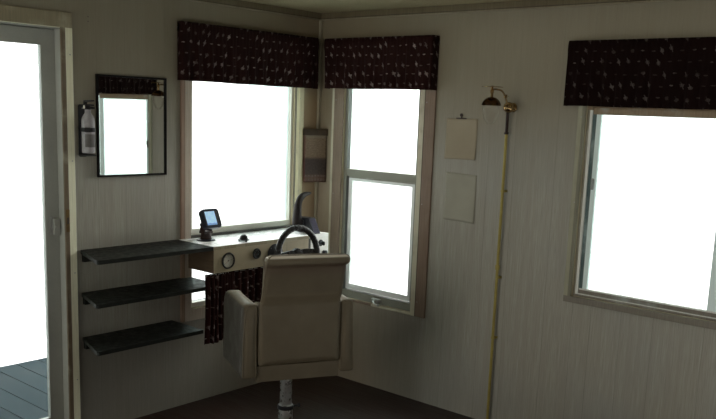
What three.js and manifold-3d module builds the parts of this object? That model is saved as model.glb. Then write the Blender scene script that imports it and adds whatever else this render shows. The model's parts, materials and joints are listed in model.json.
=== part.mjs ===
// Forward starboard corner of a houseboat cabin, with its helm station.
// Millimetres. +X is starboard, +Y the bow, +Z up. The origin lies on the underside of the floor frame,
// straight below the inside corner of the two walls, so the cabin is at x < 0 and y < 0.
import * as THREE from "three";
import { mergeVertices } from "three/addons/utils/BufferGeometryUtils.js";
import Module from "manifold-3d";

const wasm = await Module();
wasm.setup();

// Driving dimensions
const GAP = 0.3; // between two pieces that touch
const FLOOR = 160; // top of the finished floor
const FLOOR_BOARD = 20;
const CEILING = 2270; // heights below this line are above the finished floor
const WALL = 90;
const CABIN_PORT = -3400; // cut end of the front wall
const CABIN_AFT = -3200; // cut end of the side wall
const DECK_BOW = 1400;
const CASING = 12; // thickness of the flat trim on the walls
const CASING_HEAD = 65;
const LAP = 203; // exposure of the outside lap boards
const LAP_STEP = 10;
const ROOF = 90;
const ROOF_INBOARD = 750; // width of ceiling kept inside the walls
const EAVE = 150;

// Openings of the two walls. near and far are distances along the wall, measured from the inside corner
// towards the cut end, so they are negative. Heights are above the finished floor.
const OPENINGS = {
  door: { wall: "front", near: -1735, far: -3260, bottom: 0, top: 2040 },
  front: { wall: "front", near: -210, far: -1003, bottom: 555, top: 1960 },
  side: { wall: "side", near: -214, far: -802, bottom: 526, top: 1960 },
  aft: { wall: "side", near: -1815, far: -2985, bottom: 803, top: 1770 },
};

const CONSOLE = { port: -1088, starboard: -207, depth: 310, endDepth: 213, bottom: 815, top: 960, board: 20, panel: 15 };
const HELM = { x: -646, y: -493, height: 893, rim: 152.5, tube: 17.5, tilt: 5 };
const CHAIR = { x: -1063.2, y: -849.5, turn: 27, seat: 575, arm: 801, back: 1034, width: 562 };
const FINDER = { x: -973, y: -115, pivot: 91, lean: 25 };
const LAMP = { y: -1402, x: -40, height: 1735, reach: 172 };

const COLOURS = {
  panelling: 0x77736a,
  siding: 0xe8e8e2,
  floor: 0x3a1a14,
  timber: 0x8b7a5e,
  deck: 0x6d7b83,
  ceiling: 0xbcb6a6,
  trim: 0x8c8271,
  frame: 0xd9dad4,
  doorFrame: 0x85857c,
  glass: 0xdfeaea,
  black: 0x161616,
  shelf: 0x23251f,
  cream: 0xb7ae90,
  white: 0xf0efe8,
  maroon: 0x2a0c10,
  brass: 0xb18a35,
  yellow: 0xb89d3a,
  vinyl: 0x8b8068,
  metal: 0xb9bbbb,
  print: 0x6b6257,
};

// Solids

function solid(geometry) {
  const bare = geometry.index ? geometry.toNonIndexed() : geometry.clone();
  bare.deleteAttribute("normal");
  bare.deleteAttribute("uv");
  const merged = mergeVertices(bare, 1e-4);
  return new wasm.Manifold(
    new wasm.Mesh({
      numProp: 3,
      vertProperties: new Float32Array(merged.attributes.position.array),
      triVerts: new Uint32Array(merged.index.array),
    }),
  );
}

function block(x, y, z) {
  const box = new THREE.BoxGeometry(
    Math.abs(x[1] - x[0]),
    Math.abs(y[1] - y[0]),
    Math.abs(z[1] - z[0]),
  );
  box.translate((x[0] + x[1]) / 2, (y[0] + y[1]) / 2, (z[0] + z[1]) / 2);
  return solid(box);
}

// A round bar along Z from z = 0 to its length.
function bar(radius, length, sides = 20, topRadius = radius) {
  const shape = new THREE.CylinderGeometry(topRadius, radius, length, sides);
  shape.rotateX(Math.PI / 2);
  shape.translate(0, 0, length / 2);
  return solid(shape);
}

const alongX = (s) => s.rotate([0, 90, 0]);
const alongY = (s) => s.rotate([-90, 0, 0]);

// An outline in the plane of across and up, drawn out along the third axis.
function outline(points) {
  return new THREE.Shape(points.map(([a, b]) => new THREE.Vector2(a, b)));
}

function prismAlongX(points, from, to) {
  const g = new THREE.ExtrudeGeometry(outline(points), { depth: to - from, bevelEnabled: false });
  g.applyMatrix4(
    new THREE.Matrix4().makeBasis(
      new THREE.Vector3(0, 1, 0),
      new THREE.Vector3(0, 0, 1),
      new THREE.Vector3(1, 0, 0),
    ),
  );
  g.translate(from, 0, 0);
  return solid(g);
}

function prismAlongY(points, from, to) {
  const g = new THREE.ExtrudeGeometry(outline(points), { depth: to - from, bevelEnabled: false });
  g.rotateX(Math.PI / 2);
  g.translate(0, to, 0);
  return solid(g);
}

function prismAlongZ(shape, from, to, curveSegments = 6) {
  const g = new THREE.ExtrudeGeometry(shape, { depth: to - from, bevelEnabled: false, curveSegments });
  g.translate(0, 0, from);
  return solid(g);
}

function tube(points, radius, steps = 16, sides = 10) {
  const section = new THREE.Shape().absarc(0, 0, radius, 0, 2 * Math.PI);
  const g = new THREE.ExtrudeGeometry(section, {
    steps,
    curveSegments: sides / 2,
    extrudePath: new THREE.CatmullRomCurve3(points.map((p) => new THREE.Vector3(...p))),
  });
  return solid(g);
}

const union = (parts) => parts.reduce((a, b) => a.add(b));

// Wall coordinates: along the wall, out through it (inside is negative), and height above the floor.
function onWall(wall, along, out, height) {
  const z = [FLOOR + height[0], FLOOR + height[1]];
  return wall === "front" ? block(along, out, z) : block(out, along, z);
}

// A flat ring around an opening, seen along the wall's normal.
function ring(wall, outer, inner, out) {
  const around = onWall(wall, [outer.far, outer.near], out, [outer.bottom, outer.top]);
  const hole = onWall(wall, [inner.far, inner.near], [out[0] - 1, out[1] + 1], [inner.bottom, inner.top]);
  return around.subtract(hole);
}

const inset = (o, by) => ({
  ...o,
  near: o.near - by,
  far: o.far + by,
  bottom: o.bottom + by,
  top: o.top - by,
});

function pane(wall, hole, out) {
  const edge = inset(hole, GAP);
  return onWall(wall, [edge.far, edge.near], out, [edge.bottom, edge.top]);
}

// The scene graph

const root = new THREE.Group();
let home = root;

function add(name, shape, colour, { roughness = 0.7, metalness = 0 } = {}) {
  const { vertProperties, triVerts } = shape.getMesh();
  const geometry = new THREE.BufferGeometry();
  geometry.setAttribute("position", new THREE.BufferAttribute(new Float32Array(vertProperties), 3));
  geometry.setIndex(new THREE.BufferAttribute(new Uint32Array(triVerts), 1));
  geometry.computeVertexNormals();
  const material = new THREE.MeshStandardMaterial({ color: COLOURS[colour], roughness, metalness });
  const mesh = new THREE.Mesh(geometry, material);
  mesh.name = name;
  home.add(mesh);
}

// Floor frame: a rim and joists across the boat
{
  const height = FLOOR - FLOOR_BOARD;
  const rim = 45;
  const joists = 8;
  const x = [CABIN_PORT, WALL];
  const y = [CABIN_AFT, WALL];
  const frame = [
    block([x[0], x[0] + rim], y, [0, height]),
    block([x[1] - WALL - rim, x[1]], y, [0, height]),
  ];
  const pitch = (y[1] - WALL - rim - y[0]) / joists;
  for (let i = 0; i < joists; i++) {
    frame.push(block(x, [y[0] + i * pitch, y[0] + i * pitch + rim], [0, height]));
  }
  frame.push(block(x, [-rim, y[1]], [0, height]));
  add("floor_frame", union(frame), "timber");
  add("cabin_floor", block(x, y, [height + GAP, FLOOR]), "floor", { roughness: 0.5 });
}

// Fore deck outside the door: boards that run fore and aft on cross joists
{
  const top = FLOOR - FLOOR_BOARD;
  const board = { width: 140, gap: 8, thick: 28 };
  const start = WALL + GAP;
  const pieces = [];
  for (let x = CABIN_PORT; x + board.width <= WALL; x += board.width + board.gap) {
    pieces.push(block([x, x + board.width], [start, DECK_BOW], [top - board.thick, top]));
  }
  const across = pieces.length * (board.width + board.gap) - board.gap;
  for (const y of [start, 460, 920, DECK_BOW - 45]) {
    const joist = [top - board.thick - 112, top - board.thick + 1];
    pieces.push(block([CABIN_PORT, CABIN_PORT + across], [y, y + 45], [Math.max(0, joist[0]), joist[1]]));
  }
  add("fore_deck", union(pieces), "deck", { roughness: 0.8 });
}

// Walls: flat inside, lap boards outside, cut for the windows and the door
{
  const from = FLOOR + GAP;
  const to = FLOOR + CEILING + 8;
  const section = [[0, from]];
  for (let z = from; z < to; z += LAP) {
    section.push([WALL, z], [WALL - LAP_STEP, Math.min(z + LAP, to)]);
  }
  section.push([0, to]);
  const cut = (wall, name) => {
    const o = OPENINGS[name];
    const bottom = o.bottom === 0 ? -10 : o.bottom;
    return onWall(wall, [o.far, o.near], [-10, WALL + 10], [bottom, o.top]);
  };
  const front = prismAlongX(section, CABIN_PORT, WALL)
    .subtract(cut("front", "door"))
    .subtract(cut("front", "front"));
  const side = prismAlongY(section, CABIN_AFT, -GAP)
    .subtract(cut("side", "side"))
    .subtract(cut("side", "aft"));
  add("front_wall", front, "panelling");
  add("side_wall", side, "panelling");
}

// Roof edge and ceiling over the walls, cut back inboard
{
  const under = FLOOR + CEILING;
  const corner = (outer, inner, z) =>
    block([CABIN_PORT, outer], [-ROOF_INBOARD, outer], z).add(
      block([-ROOF_INBOARD, outer], [CABIN_AFT, outer], z),
    );
  add("ceiling_panel", corner(-GAP, 0, [under + GAP, under + 8]), "ceiling");
  add("roof_edge", corner(WALL + EAVE, 0, [under + 8 + GAP, under + 8 + ROOF]), "siding");
}

// Crown trim along both walls and the strip in the corner, one mitred piece
{
  const z = [FLOOR + CEILING - 42, FLOOR + CEILING];
  const deep = 20;
  add(
    "room_trim",
    union([
      block([CABIN_PORT, -GAP], [-deep, -GAP], z),
      block([-deep, -GAP], [CABIN_AFT, -GAP], z),
      block([-deep, -GAP], [-deep, -GAP], [FLOOR + GAP, z[1]]),
    ]),
    "trim",
  );
}

// Flat casings on the inside faces
const CASINGS = [
  { name: "front_window_casing", opening: "front", nearWidth: 67, width: 67, sill: 67 },
  { name: "side_window_casing", opening: "side", nearWidth: 89, width: 107, sill: 14 },
  { name: "aft_window_casing", opening: "aft", nearWidth: 38, width: 38, sill: 32 },
];
for (const { name, opening, nearWidth, width, sill } of CASINGS) {
  const o = OPENINGS[opening];
  const outer = { near: o.near + nearWidth, far: o.far - width, bottom: o.bottom - sill, top: o.top + CASING_HEAD };
  const inner = { ...o, bottom: o.bottom };
  add(name, ring(o.wall, outer, inner, [-CASING - GAP, -GAP]), "trim");
}
{
  const o = OPENINGS.door;
  const face = { near: -1760, far: -3235, bottom: -1, top: 2020 };
  const outer = { near: -1701, far: -3294, bottom: GAP, top: 2092 };
  add("door_casing", ring(o.wall, outer, face, [-CASING - GAP, -GAP]), "trim");
}

// Sliding door: frame, fixed half and sliding half
{
  const frameHole = { near: -1760, far: -3235, bottom: 25, top: 2015 };
  const rough = inset(OPENINGS.door, GAP);
  add("door_frame", ring("front", rough, frameHole, [GAP, WALL - LAP_STEP]), "doorFrame", { roughness: 0.4 });
  const stile = 72;
  const rail = 85;
  const panel = (outer) => ({
    near: outer.near - stile,
    far: outer.far + stile,
    bottom: outer.bottom + rail,
    top: outer.top - stile,
  });
  const fixed = { near: -2485, far: -3235 + GAP, bottom: 25 + GAP, top: 2015 - GAP };
  add("door_fixed_panel", ring("front", fixed, panel(fixed), [12, 38]), "doorFrame", { roughness: 0.4 });
  add("door_fixed_glass", pane("front", panel(fixed), [23, 28]), "glass", { roughness: 0.05 });
  const slider = { near: -1760 - GAP, far: -2530, bottom: 25 + GAP, top: 2010 };
  const sliderRing = ring("front", slider, panel(slider), [47, 73]);
  const latch = onWall("front", [-1795, -1765], [28, 47.5], [1040, 1120]).add(
    onWall("front", [-1792, -1768], [22, 30], [1075, 1085]),
  );
  add("door_slider", sliderRing.add(latch), "doorFrame", { roughness: 0.4 });
  add("door_slider_glass", pane("front", panel(slider), [58, 63]), "glass", { roughness: 0.05 });
}

// Front window: one pane behind a rail
{
  const o = OPENINGS.front;
  const hole = { ...inset(o, 28), near: o.near - 14 };
  const paneAt = [40, 45];
  const frame = ring(o.wall, inset(o, GAP), hole, [15, 75]).add(
    onWall(o.wall, [hole.far - 1, hole.near + 1], [17, paneAt[0] - GAP], [966, 1004]),
  );
  add("front_window_frame", frame, "frame", { roughness: 0.5 });
  add("front_window_glass", pane(o.wall, hole, paneAt), "glass", { roughness: 0.05 });
}

// Side window: fixed pane above, top-hung sash below with its crank
{
  const o = OPENINGS.side;
  const hole = { ...inset(o, 28), near: o.near - 24, bottom: o.bottom + 48 };
  const rail = [1290, 1334];
  const frame = ring(o.wall, inset(o, GAP), hole, [15, 75]).add(
    onWall(o.wall, [hole.far - 1, hole.near + 1], [20, 72], rail),
  );
  add("side_window_frame", frame, "frame", { roughness: 0.5 });
  add("side_upper_glass", pane(o.wall, { ...hole, bottom: rail[1] }, [46, 51]), "glass", { roughness: 0.05 });
  const sash = { near: hole.near - 6, far: hole.far + 6, bottom: hole.bottom + 6, top: rail[0] - GAP };
  const light = { near: sash.near - 28, far: sash.far + 28, bottom: sash.bottom + 32, top: sash.top - 28 };
  add("side_sash", ring(o.wall, sash, light, [34, 66]), "frame", { roughness: 0.5 });
  add("side_sash_glass", pane(o.wall, light, [48, 53]), "glass", { roughness: 0.05 });
  const y = -525;
  const sill = FLOOR + o.bottom + 24;
  const crank = union([
    block([-8, 15 - GAP], [y - 32, y + 32], [sill - 12, sill + 12]),
    tube([[0, y, sill], [-22, y, sill + 2], [-40, y - 18, sill - 8], [-44, y - 60, sill - 14]], 5, 10, 8),
    solid(new THREE.SphereGeometry(9, 12, 8)).translate([-44, y - 60, sill - 14]),
  ]);
  add("window_crank", crank, "metal", { roughness: 0.35, metalness: 0.8 });
}

// Aft window: fixed pane aft, sliding sash forward of it in the inner track
{
  const o = OPENINGS.aft;
  const hole = { near: o.near - 26, far: o.far + 18, bottom: o.bottom + 16, top: o.top - 18 };
  const stile = [-2540, -2500];
  const stop = 12; // head of the outer track, behind the sash's clearance
  const frame = union([
    ring(o.wall, inset(o, GAP), hole, [15, 78]),
    onWall(o.wall, stile, [50, 74], [hole.bottom - 1, hole.top + 1]),
    onWall(o.wall, [hole.far - 1, hole.near + 1], [50, 74], [hole.top - stop, hole.top + 1]),
  ]);
  add("aft_window_frame", frame, "frame", { roughness: 0.5 });
  const fixed = { ...hole, near: stile[0], top: hole.top - stop };
  add("aft_fixed_glass", pane(o.wall, fixed, [58, 63]), "glass", { roughness: 0.05 });
  const sash = { near: hole.near - GAP, far: stile[0], bottom: hole.bottom + GAP, top: hole.top - 5 };
  const light = { near: sash.near - 44, far: sash.far + 60, bottom: sash.bottom + 26, top: sash.top - 34 };
  add("aft_sash", ring(o.wall, sash, light, [22, 46]), "frame", { roughness: 0.5 });
  add("aft_sash_glass", pane(o.wall, light, [32, 37]), "glass", { roughness: 0.05 });
}

// Mirror on the front wall
{
  const outer = { near: -1167, far: -1577, bottom: 1317, top: 1819 };
  const hole = inset(outer, 9);
  add("mirror_frame", ring("front", outer, hole, [-16 - GAP, -GAP]), "black", { roughness: 0.4 });
  add("mirror_glass", pane("front", hole, [-8, -GAP]), "metal", { roughness: 0.02, metalness: 1 });
}

// Fire extinguisher in its wall bracket
{
  const x = -1652;
  const y = -52;
  const bottom = FLOOR + 1439;
  const radius = 31;
  const profile = [
    [0, 0],
    [radius - 4, 0],
    [radius, 6],
    [radius, 168],
    [radius - 10, 188],
    [14, 204],
    [14, 212],
    [0, 212],
  ].map(([r, h]) => new THREE.Vector2(r, h));
  const bottle = solid(new THREE.LatheGeometry(profile, 24).rotateX(Math.PI / 2));
  const valve = union([
    bar(13, 24, 16).translate([0, 0, 208]),
    block([-9, 9], [-42, 30], [226, 236]),
    block([-9, 9], [-46, 20], [246, 254]),
    block([-9, 9], [12, 24], [226, 254]),
  ]);
  const inPlace = (s) => s.translate([x, y, bottom]);
  add("fire_extinguisher", inPlace(bottle.add(valve)), "white", { roughness: 0.3 });
  const holder = union([
    block([-22, 22], [48, 52 - GAP], [-20, 232]),
    block([-30, 30], [-34, 52 - GAP], [-12, -GAP]),
    bar(radius + GAP + 3, 22, 24).translate([0, 0, 118]),
    block([-16, 16], [30, 50], [118, 140]),
  ]).subtract(bar(radius + GAP, 60, 24).translate([0, 0, 100]));
  add("extinguisher_bracket", inPlace(holder), "black", { roughness: 0.5 });
}

// Shelves: boards whose port ends splay out towards the front, each with a cleat on the wall
const SHELVES = [
  { name: "shelf_upper", top: 959, starboard: CONSOLE.port - GAP, depth: 310 },
  { name: "shelf_middle", top: 742, starboard: -1006, depth: 280 },
  { name: "shelf_lower", top: 511, starboard: -1128, depth: 280 },
];
for (const { name, top, starboard, depth } of SHELVES) {
  const port = -1675;
  const splay = 0.32;
  const corner = 10;
  const board = new THREE.Shape()
    .moveTo(port, -GAP)
    .lineTo(port - splay * (depth - corner), -depth + corner)
    .lineTo(port - splay * depth + corner, -depth)
    .lineTo(starboard, -depth)
    .lineTo(starboard, -GAP)
    .closePath();
  const z = FLOOR + top;
  const casingEdge = OPENINGS.front.far - CASINGS[0].width - GAP;
  const cleatEnd = Math.min(starboard, casingEdge - 5);
  const notch = block([casingEdge, 0], [-CASING - 2 * GAP, 0], [z - 30, z + 10]);
  add(
    name,
    union([
      prismAlongZ(board, z - 20, z).subtract(notch),
      block([port + 6, cleatEnd], [-22, -GAP], [z - 60, z - 19]),
    ]),
    "shelf",
    { roughness: 0.55 },
  );
}

// Helm console: a hollow box below the front window, open underneath
const fasciaFace = -CONSOLE.depth;
const GAUGES = [
  { name: "speed_gauge", x: -989, height: 875, radius: 45, can: 40 },
  { name: "engine_gauge", x: -786, height: 893, radius: 30, can: 25 },
];
{
  const { port, starboard, endDepth, bottom, top, board, panel } = CONSOLE;
  const z = [FLOOR + bottom, FLOOR + top - board - GAP];
  let body = union([
    block([port, starboard], [fasciaFace, fasciaFace + panel], z),
    block([port, port + panel], [fasciaFace, fasciaFace + endDepth], z),
    block([starboard - panel, starboard], [fasciaFace, -CASING - 2 * GAP], z),
  ]);
  for (const { x, height, can } of GAUGES) {
    body = body.subtract(
      alongY(bar(can + GAP, 40, 28)).translate([x, fasciaFace - 10, FLOOR + height]),
    );
  }
  add("console_body", body, "cream", { roughness: 0.5 });
  add(
    "console_top",
    block([port, starboard], [fasciaFace, -CASING - 2 * GAP], [z[1] + GAP, FLOOR + top]),
    "white",
    { roughness: 0.35 },
  );
}
for (const { name, x, height, radius, can } of GAUGES) {
  const bezel = alongY(bar(radius - 3, 9, 32, radius)).translate([0, -GAP - 9, 0]);
  const body = alongY(bar(can, 62, 28)).translate([0, -2, 0]);
  add(name, bezel.add(body).translate([x, fasciaFace, FLOOR + height]), "black", { roughness: 0.3 });
}

// Steering wheel and the bezel that its shaft runs in, both square to the raked shaft
{
  const lean = THREE.MathUtils.degToRad(HELM.tilt);
  const reach = (HELM.y - fasciaFace) / -Math.cos(lean);
  const group = new THREE.Group();
  group.position.set(HELM.x, HELM.y, FLOOR + HELM.height);
  group.rotation.x = Math.PI / 2 - lean;
  root.add(group);
  home = group;
  // In this group +Z points at the driver, and the shaft runs along -Z into the console
  const rim = solid(new THREE.TorusGeometry(HELM.rim, HELM.tube, 12, 48));
  const parts = [rim, bar(46, 34, 24, 38).translate([0, 0, -24]), bar(10, reach - 6, 16).translate([0, 0, 6 - reach])];
  for (const angle of [0, 180, 270]) {
    parts.push(block([20, HELM.rim], [-17, 17], [-12, 4]).rotate([0, 0, angle]));
  }
  add("steering_wheel", union(parts), "black", { roughness: 0.45 });
  const boss = union([bar(48, 12, 32), bar(30, 30, 24, 22)]).translate([0, 0, -reach - 6]);
  const world = new THREE.Matrix4().makeTranslation(0, 0, 0);
  group.updateMatrixWorld(true);
  world.copy(group.matrixWorld).invert();
  const behind = new THREE.BoxGeometry(200, 60, 300);
  behind.translate(HELM.x, fasciaFace - GAP + 30, FLOOR + HELM.height);
  behind.applyMatrix4(world);
  add(
    "helm_bezel",
    boss.subtract(bar(10 + GAP, 200, 16).translate([0, 0, -reach - 60])).subtract(solid(behind)),
    "black",
    { roughness: 0.4 },
  );
  home = root;
}

// What stands on the console
{
  const z = FLOOR + CONSOLE.top + GAP;
  // Control box with a steep face, and the shift and throttle lever on a boss at its port side
  const box = { port: -328, starboard: -273, front: -305, back: -140, high: 92 };
  add(
    "control_box",
    prismAlongX(
      [
        [box.front, z],
        [box.back, z],
        [box.back, z + box.high - 4],
        [box.front + 50, z + box.high],
      ],
      box.port,
      box.starboard,
    ),
    "black",
    { roughness: 0.5 },
  );
  const lever = { x: -352, y: -195, boss: 36, height: 47 };
  add(
    "throttle_lever",
    union([
      alongX(bar(lever.boss, 34, 28)).translate([box.port - GAP - 34, lever.y, z + lever.height]),
      tube(
        [
          [lever.x, lever.y, z + lever.height],
          [lever.x + 1, lever.y, z + 110],
          [lever.x + 5, lever.y, z + 165],
          [lever.x + 22, lever.y, z + 205],
          [lever.x + 58, lever.y, z + 226],
          [lever.x + 109, lever.y, z + 233],
        ],
        13,
        22,
        10,
      ),
    ]),
    "black",
    { roughness: 0.4 },
  );
  // Depth finder: round foot with a forked stalk, and the head that tilts in it
  const { x: dx, y: dy, pivot: rise, lean } = FINDER;
  const pivot = z + rise;
  const cheek = (side) =>
    block([dx + side * 24 - 4, dx + side * 24 + 4], [dy - 8, dy + 8], [z + 40, pivot + 12]);
  add(
    "depth_finder_foot",
    union([
      bar(52, 9, 28).translate([dx, dy, z]),
      bar(20, 40, 16, 14).translate([dx, dy, z + 5]),
      block([dx - 28, dx + 28], [dy - 8, dy + 8], [z + 38, z + 50]),
      cheek(-1),
      cheek(1),
    ]),
    "black",
    { roughness: 0.5 },
  );
  const head = prismAlongY(
    [
      [-56, -24],
      [-42, -40],
      [42, -40],
      [56, -24],
      [56, 54],
      [42, 70],
      [-42, 70],
      [-56, 54],
    ],
    -66,
    -26,
  );
  const knuckle = union([
    block([-20 + GAP, 20 - GAP], [-28, 7], [-7, 7]),
    alongX(bar(8, 40 - 2 * GAP, 16)).translate([-20 + GAP, 0, 0]),
  ]);
  add(
    "depth_finder_head",
    head.add(knuckle).rotate([-lean, 0, 0]).translate([dx, dy, pivot]),
    "black",
    { roughness: 0.4 },
  );
  // Small compass
  const c = [-838, -262];
  const dome = solid(new THREE.SphereGeometry(24, 20, 12)).translate([c[0], c[1], z + 22]);
  add(
    "compass",
    dome.add(bar(34, 8, 24, 28).translate([c[0], c[1], z])).subtract(
      block([c[0] - 60, c[0] + 60], [c[1] - 60, c[1] + 60], [z - 60, z]),
    ),
    "black",
    { roughness: 0.35 },
  );
}

// Soft goods, plain solids of the right size and place
{
  const z = FLOOR + CONSOLE.bottom - GAP;
  const low = FLOOR + 428;
  const port = CONSOLE.port - 48; // its bunched end hangs out past the console
  add(
    "skirt_curtain",
    prismAlongY(
      [
        [port, z],
        [port, low],
        [-985, low],
        [-900, low + 110],
        [-800, low + 180],
        [-225, low + 180],
        [-225, z],
      ],
      fasciaFace + 2,
      fasciaFace + 26,
    ),
    "maroon",
    { roughness: 0.9 },
  );
}
const VALANCES = [
  { name: "front_valance", wall: "front", near: -60, far: -1090, bottom: 1812, top: 2120, off: 62 },
  { name: "side_valance", wall: "side", near: -112, far: -910, bottom: 1816, top: 2115, off: 84 },
  { name: "aft_valance", wall: "side", near: -1712, far: -3090, bottom: 1750, top: 2065, off: 62 },
];
for (const { name, wall, near, far, bottom, top, off } of VALANCES) {
  const head = onWall(wall, [far, near], [-off, -CASING - 2 * GAP], [bottom, top]);
  const returns = onWall(wall, [far, near], [-off, -GAP], [top - 60, top - 20]);
  const trimmed = returns.subtract(onWall(wall, [far + 12, near - 12], [-off, 10], [top - 61, top - 19]));
  add(name, head.add(trimmed), "maroon", { roughness: 0.9 });
}

// Calendar hung across the corner: its top bar ends on the window casing and on the side wall
{
  const bar = 6; // half thickness
  const from = new THREE.Vector2(-150, -CASING - GAP - 0.3 - 0.909 * bar);
  const to = new THREE.Vector2(-GAP - 0.43 * bar, -86);
  const across = new THREE.Group();
  across.position.set((from.x + to.x) / 2, (from.y + to.y) / 2, FLOOR + 1405);
  across.rotation.z = Math.atan2(to.y - from.y, to.x - from.x);
  root.add(across);
  home = across;
  const half = from.distanceTo(to) / 2;
  const sheet = block([-half + 6, half - 6], [-1.5, 1.5], [-165, 130]);
  add("hanging_calendar", sheet.add(block([-half, half], [-bar, bar], [125, 165])), "print", {
    roughness: 0.8,
  });
  home = root;
}

// Gas lamp: wall fitting with its gooseneck and smoke disc, glass globe in a metal shade, and the pipe
{
  const { x, y, height, reach } = LAMP;
  const z = FLOOR + height;
  const axis = x - reach;
  const disc = z + 97;
  const ball = solid(new THREE.SphereGeometry(29, 24, 16)).translate([x - 4, y, z]);
  const fitting = union([
    alongX(bar(24, 10, 28)).translate([-10 - GAP, y, z]),
    alongX(bar(14, 30, 16)).translate([-36, y, z]),
    ball,
    tube(
      [
        [x - 20, y, z + 10],
        [x - 42, y, z + 50],
        [x - 80, y, z + 80],
        [axis + 40, y, z + 86],
        [axis, y, z + 84],
      ],
      5,
      20,
      8,
    ),
    bar(7, 52, 14).translate([axis, y, z + 46]),
    bar(53, 3, 32, 47).translate([axis, y, disc]),
    bar(4, 40, 10).translate([axis, y, disc - 36]),
  ]);
  add("lamp_fitting", fitting, "brass", { roughness: 0.2, metalness: 1 });
  const shadeProfile = [
    [7 + GAP, 46],
    [22, 43],
    [40, 28],
    [49, 6],
    [46, 6],
    [37, 26],
    [20, 40],
    [7 + GAP, 43],
  ].map(([r, h]) => new THREE.Vector2(r, h));
  shadeProfile.push(shadeProfile[0].clone());
  const shade = solid(new THREE.LatheGeometry(shadeProfile.reverse(), 32).rotateX(Math.PI / 2));
  add("lamp_shade", shade.translate([axis, y, z]), "metal", { roughness: 0.25, metalness: 1 });
  const globeProfile = [
    [30, 31.4],
    [42, 10],
    [44, -20],
    [34, -62],
    [14, -88],
    [14, -84],
    [31, -61],
    [41.5, -20],
    [39.5, 9],
    [28, 29.4],
  ].map(([r, h]) => new THREE.Vector2(r, h));
  globeProfile.push(globeProfile[0].clone());
  const globe = solid(new THREE.LatheGeometry(globeProfile.reverse(), 28).rotateX(Math.PI / 2));
  add("lamp_globe", globe.translate([axis, y, z]), "glass", { roughness: 0.05 });
  const px = x + 10;
  const py = y + 12;
  const pipeTop = z - 27 - GAP; // just under the ball, which curves away there
  const pipe = union([
    bar(8, pipeTop - FLOOR - GAP, 12).translate([px, py, FLOOR + GAP]),
    bar(13, 26, 16).translate([px, py, FLOOR + 822]),
    ...[500, 835, 1300].map((h) => block([px, -GAP], [py - 12, py + 12], [FLOOR + h - 6, FLOOR + h + 6])),
  ]);
  add("gas_pipe", pipe, "yellow", { roughness: 0.4, metalness: 0.6 });
}

// Helm chair: fixed pedestal, and a seat that swivels on it
{
  const chair = new THREE.Group();
  chair.position.set(CHAIR.x, CHAIR.y, FLOOR);
  root.add(chair);
  home = chair;
  add(
    "chair_pedestal",
    union([bar(165, 6, 36).translate([0, 0, GAP]), bar(60, 40, 24, 38).translate([0, 0, 5]), bar(36, 380, 24).translate([0, 0, GAP])]),
    "metal",
    { roughness: 0.3, metalness: 0.9 },
  );
  const seat = new THREE.Group();
  seat.rotation.z = -THREE.MathUtils.degToRad(CHAIR.turn);
  chair.add(seat);
  home = seat;
  // In this group the swivel's axis is x = y = 0 and the seat faces +Y
  const half = CHAIR.width / 2;
  const armWide = 77;
  const armRear = -202;
  const armFront = 178;
  const seatFront = 282;
  const pan = 500;
  const under = 381;
  const inner = half - armWide - GAP;
  const arm = (side) => {
    const x = side * (half - armWide / 2);
    const bend = 60;
    const shape = new THREE.Shape()
      .moveTo(armRear, 440)
      .lineTo(armFront - 20, 440)
      .lineTo(armFront, 470)
      .lineTo(armFront, CHAIR.arm - bend)
      .absarc(armFront - bend, CHAIR.arm - bend, bend, 0, Math.PI / 2)
      .lineTo(armRear, CHAIR.arm)
      .closePath();
    return prismAlongX(
      shape.getPoints(5).map((p) => [p.x, p.y]),
      x - armWide / 2,
      x + armWide / 2,
    );
  };
  add(
    "chair_shell",
    union([
      bar(36, 30, 24).translate([0, 0, under]),
      block([-120, 120], [-120, 120], [under + 20, under + 45]),
      block([-half + 10, half - 10], [armRear + 10, armFront - 12], [under + 40, pan]),
      block([-inner, inner], [armFront - 20, seatFront - 12], [under + 40, pan]),
      arm(-1),
      arm(1),
    ]),
    "vinyl",
    { roughness: 0.6 },
  );
  const backFoot = -100; // where the front of the back meets the seat
  const backHalf = 195;
  const backRear = armRear - 2;
  const crease = [CHAIR.arm + 4, CHAIR.arm + 37]; // where the upright part ends and the leaning part begins
  const cushion = block([-inner, inner], [backFoot + GAP, seatFront], [pan + GAP, CHAIR.seat]);
  add("seat_cushion", cushion, "vinyl", { roughness: 0.6 });
  // Upright between the arms, then leaning aft to a roll along the top
  const back = prismAlongX(
    [
      [backFoot, pan + GAP],
      [-222, CHAIR.back - 16],
      [-236, CHAIR.back],
      [-286, CHAIR.back],
      [-300, CHAIR.back - 16],
      [-277, CHAIR.back - 38],
      [-228, crease[1]],
      [backRear, crease[0]],
      [backRear, pan + GAP],
    ],
    -backHalf,
    backHalf,
  );
  add("back_cushion", back, "vinyl", { roughness: 0.6 });
  home = root;
}

export default root;
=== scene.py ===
"""Looks of the houseboat cabin corner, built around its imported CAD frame.

Metres. +X is starboard, +Y the bow and +Z up. FF is the top of the finished floor, and the inside faces of
the two walls are the planes y = 0 and x = 0, with the cabin at x < 0 and y < 0.
"""

import bisect
import json
import math

import bmesh
import bpy
from mathutils import Matrix, Vector, noise
from mathutils.bvhtree import BVHTree


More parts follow.
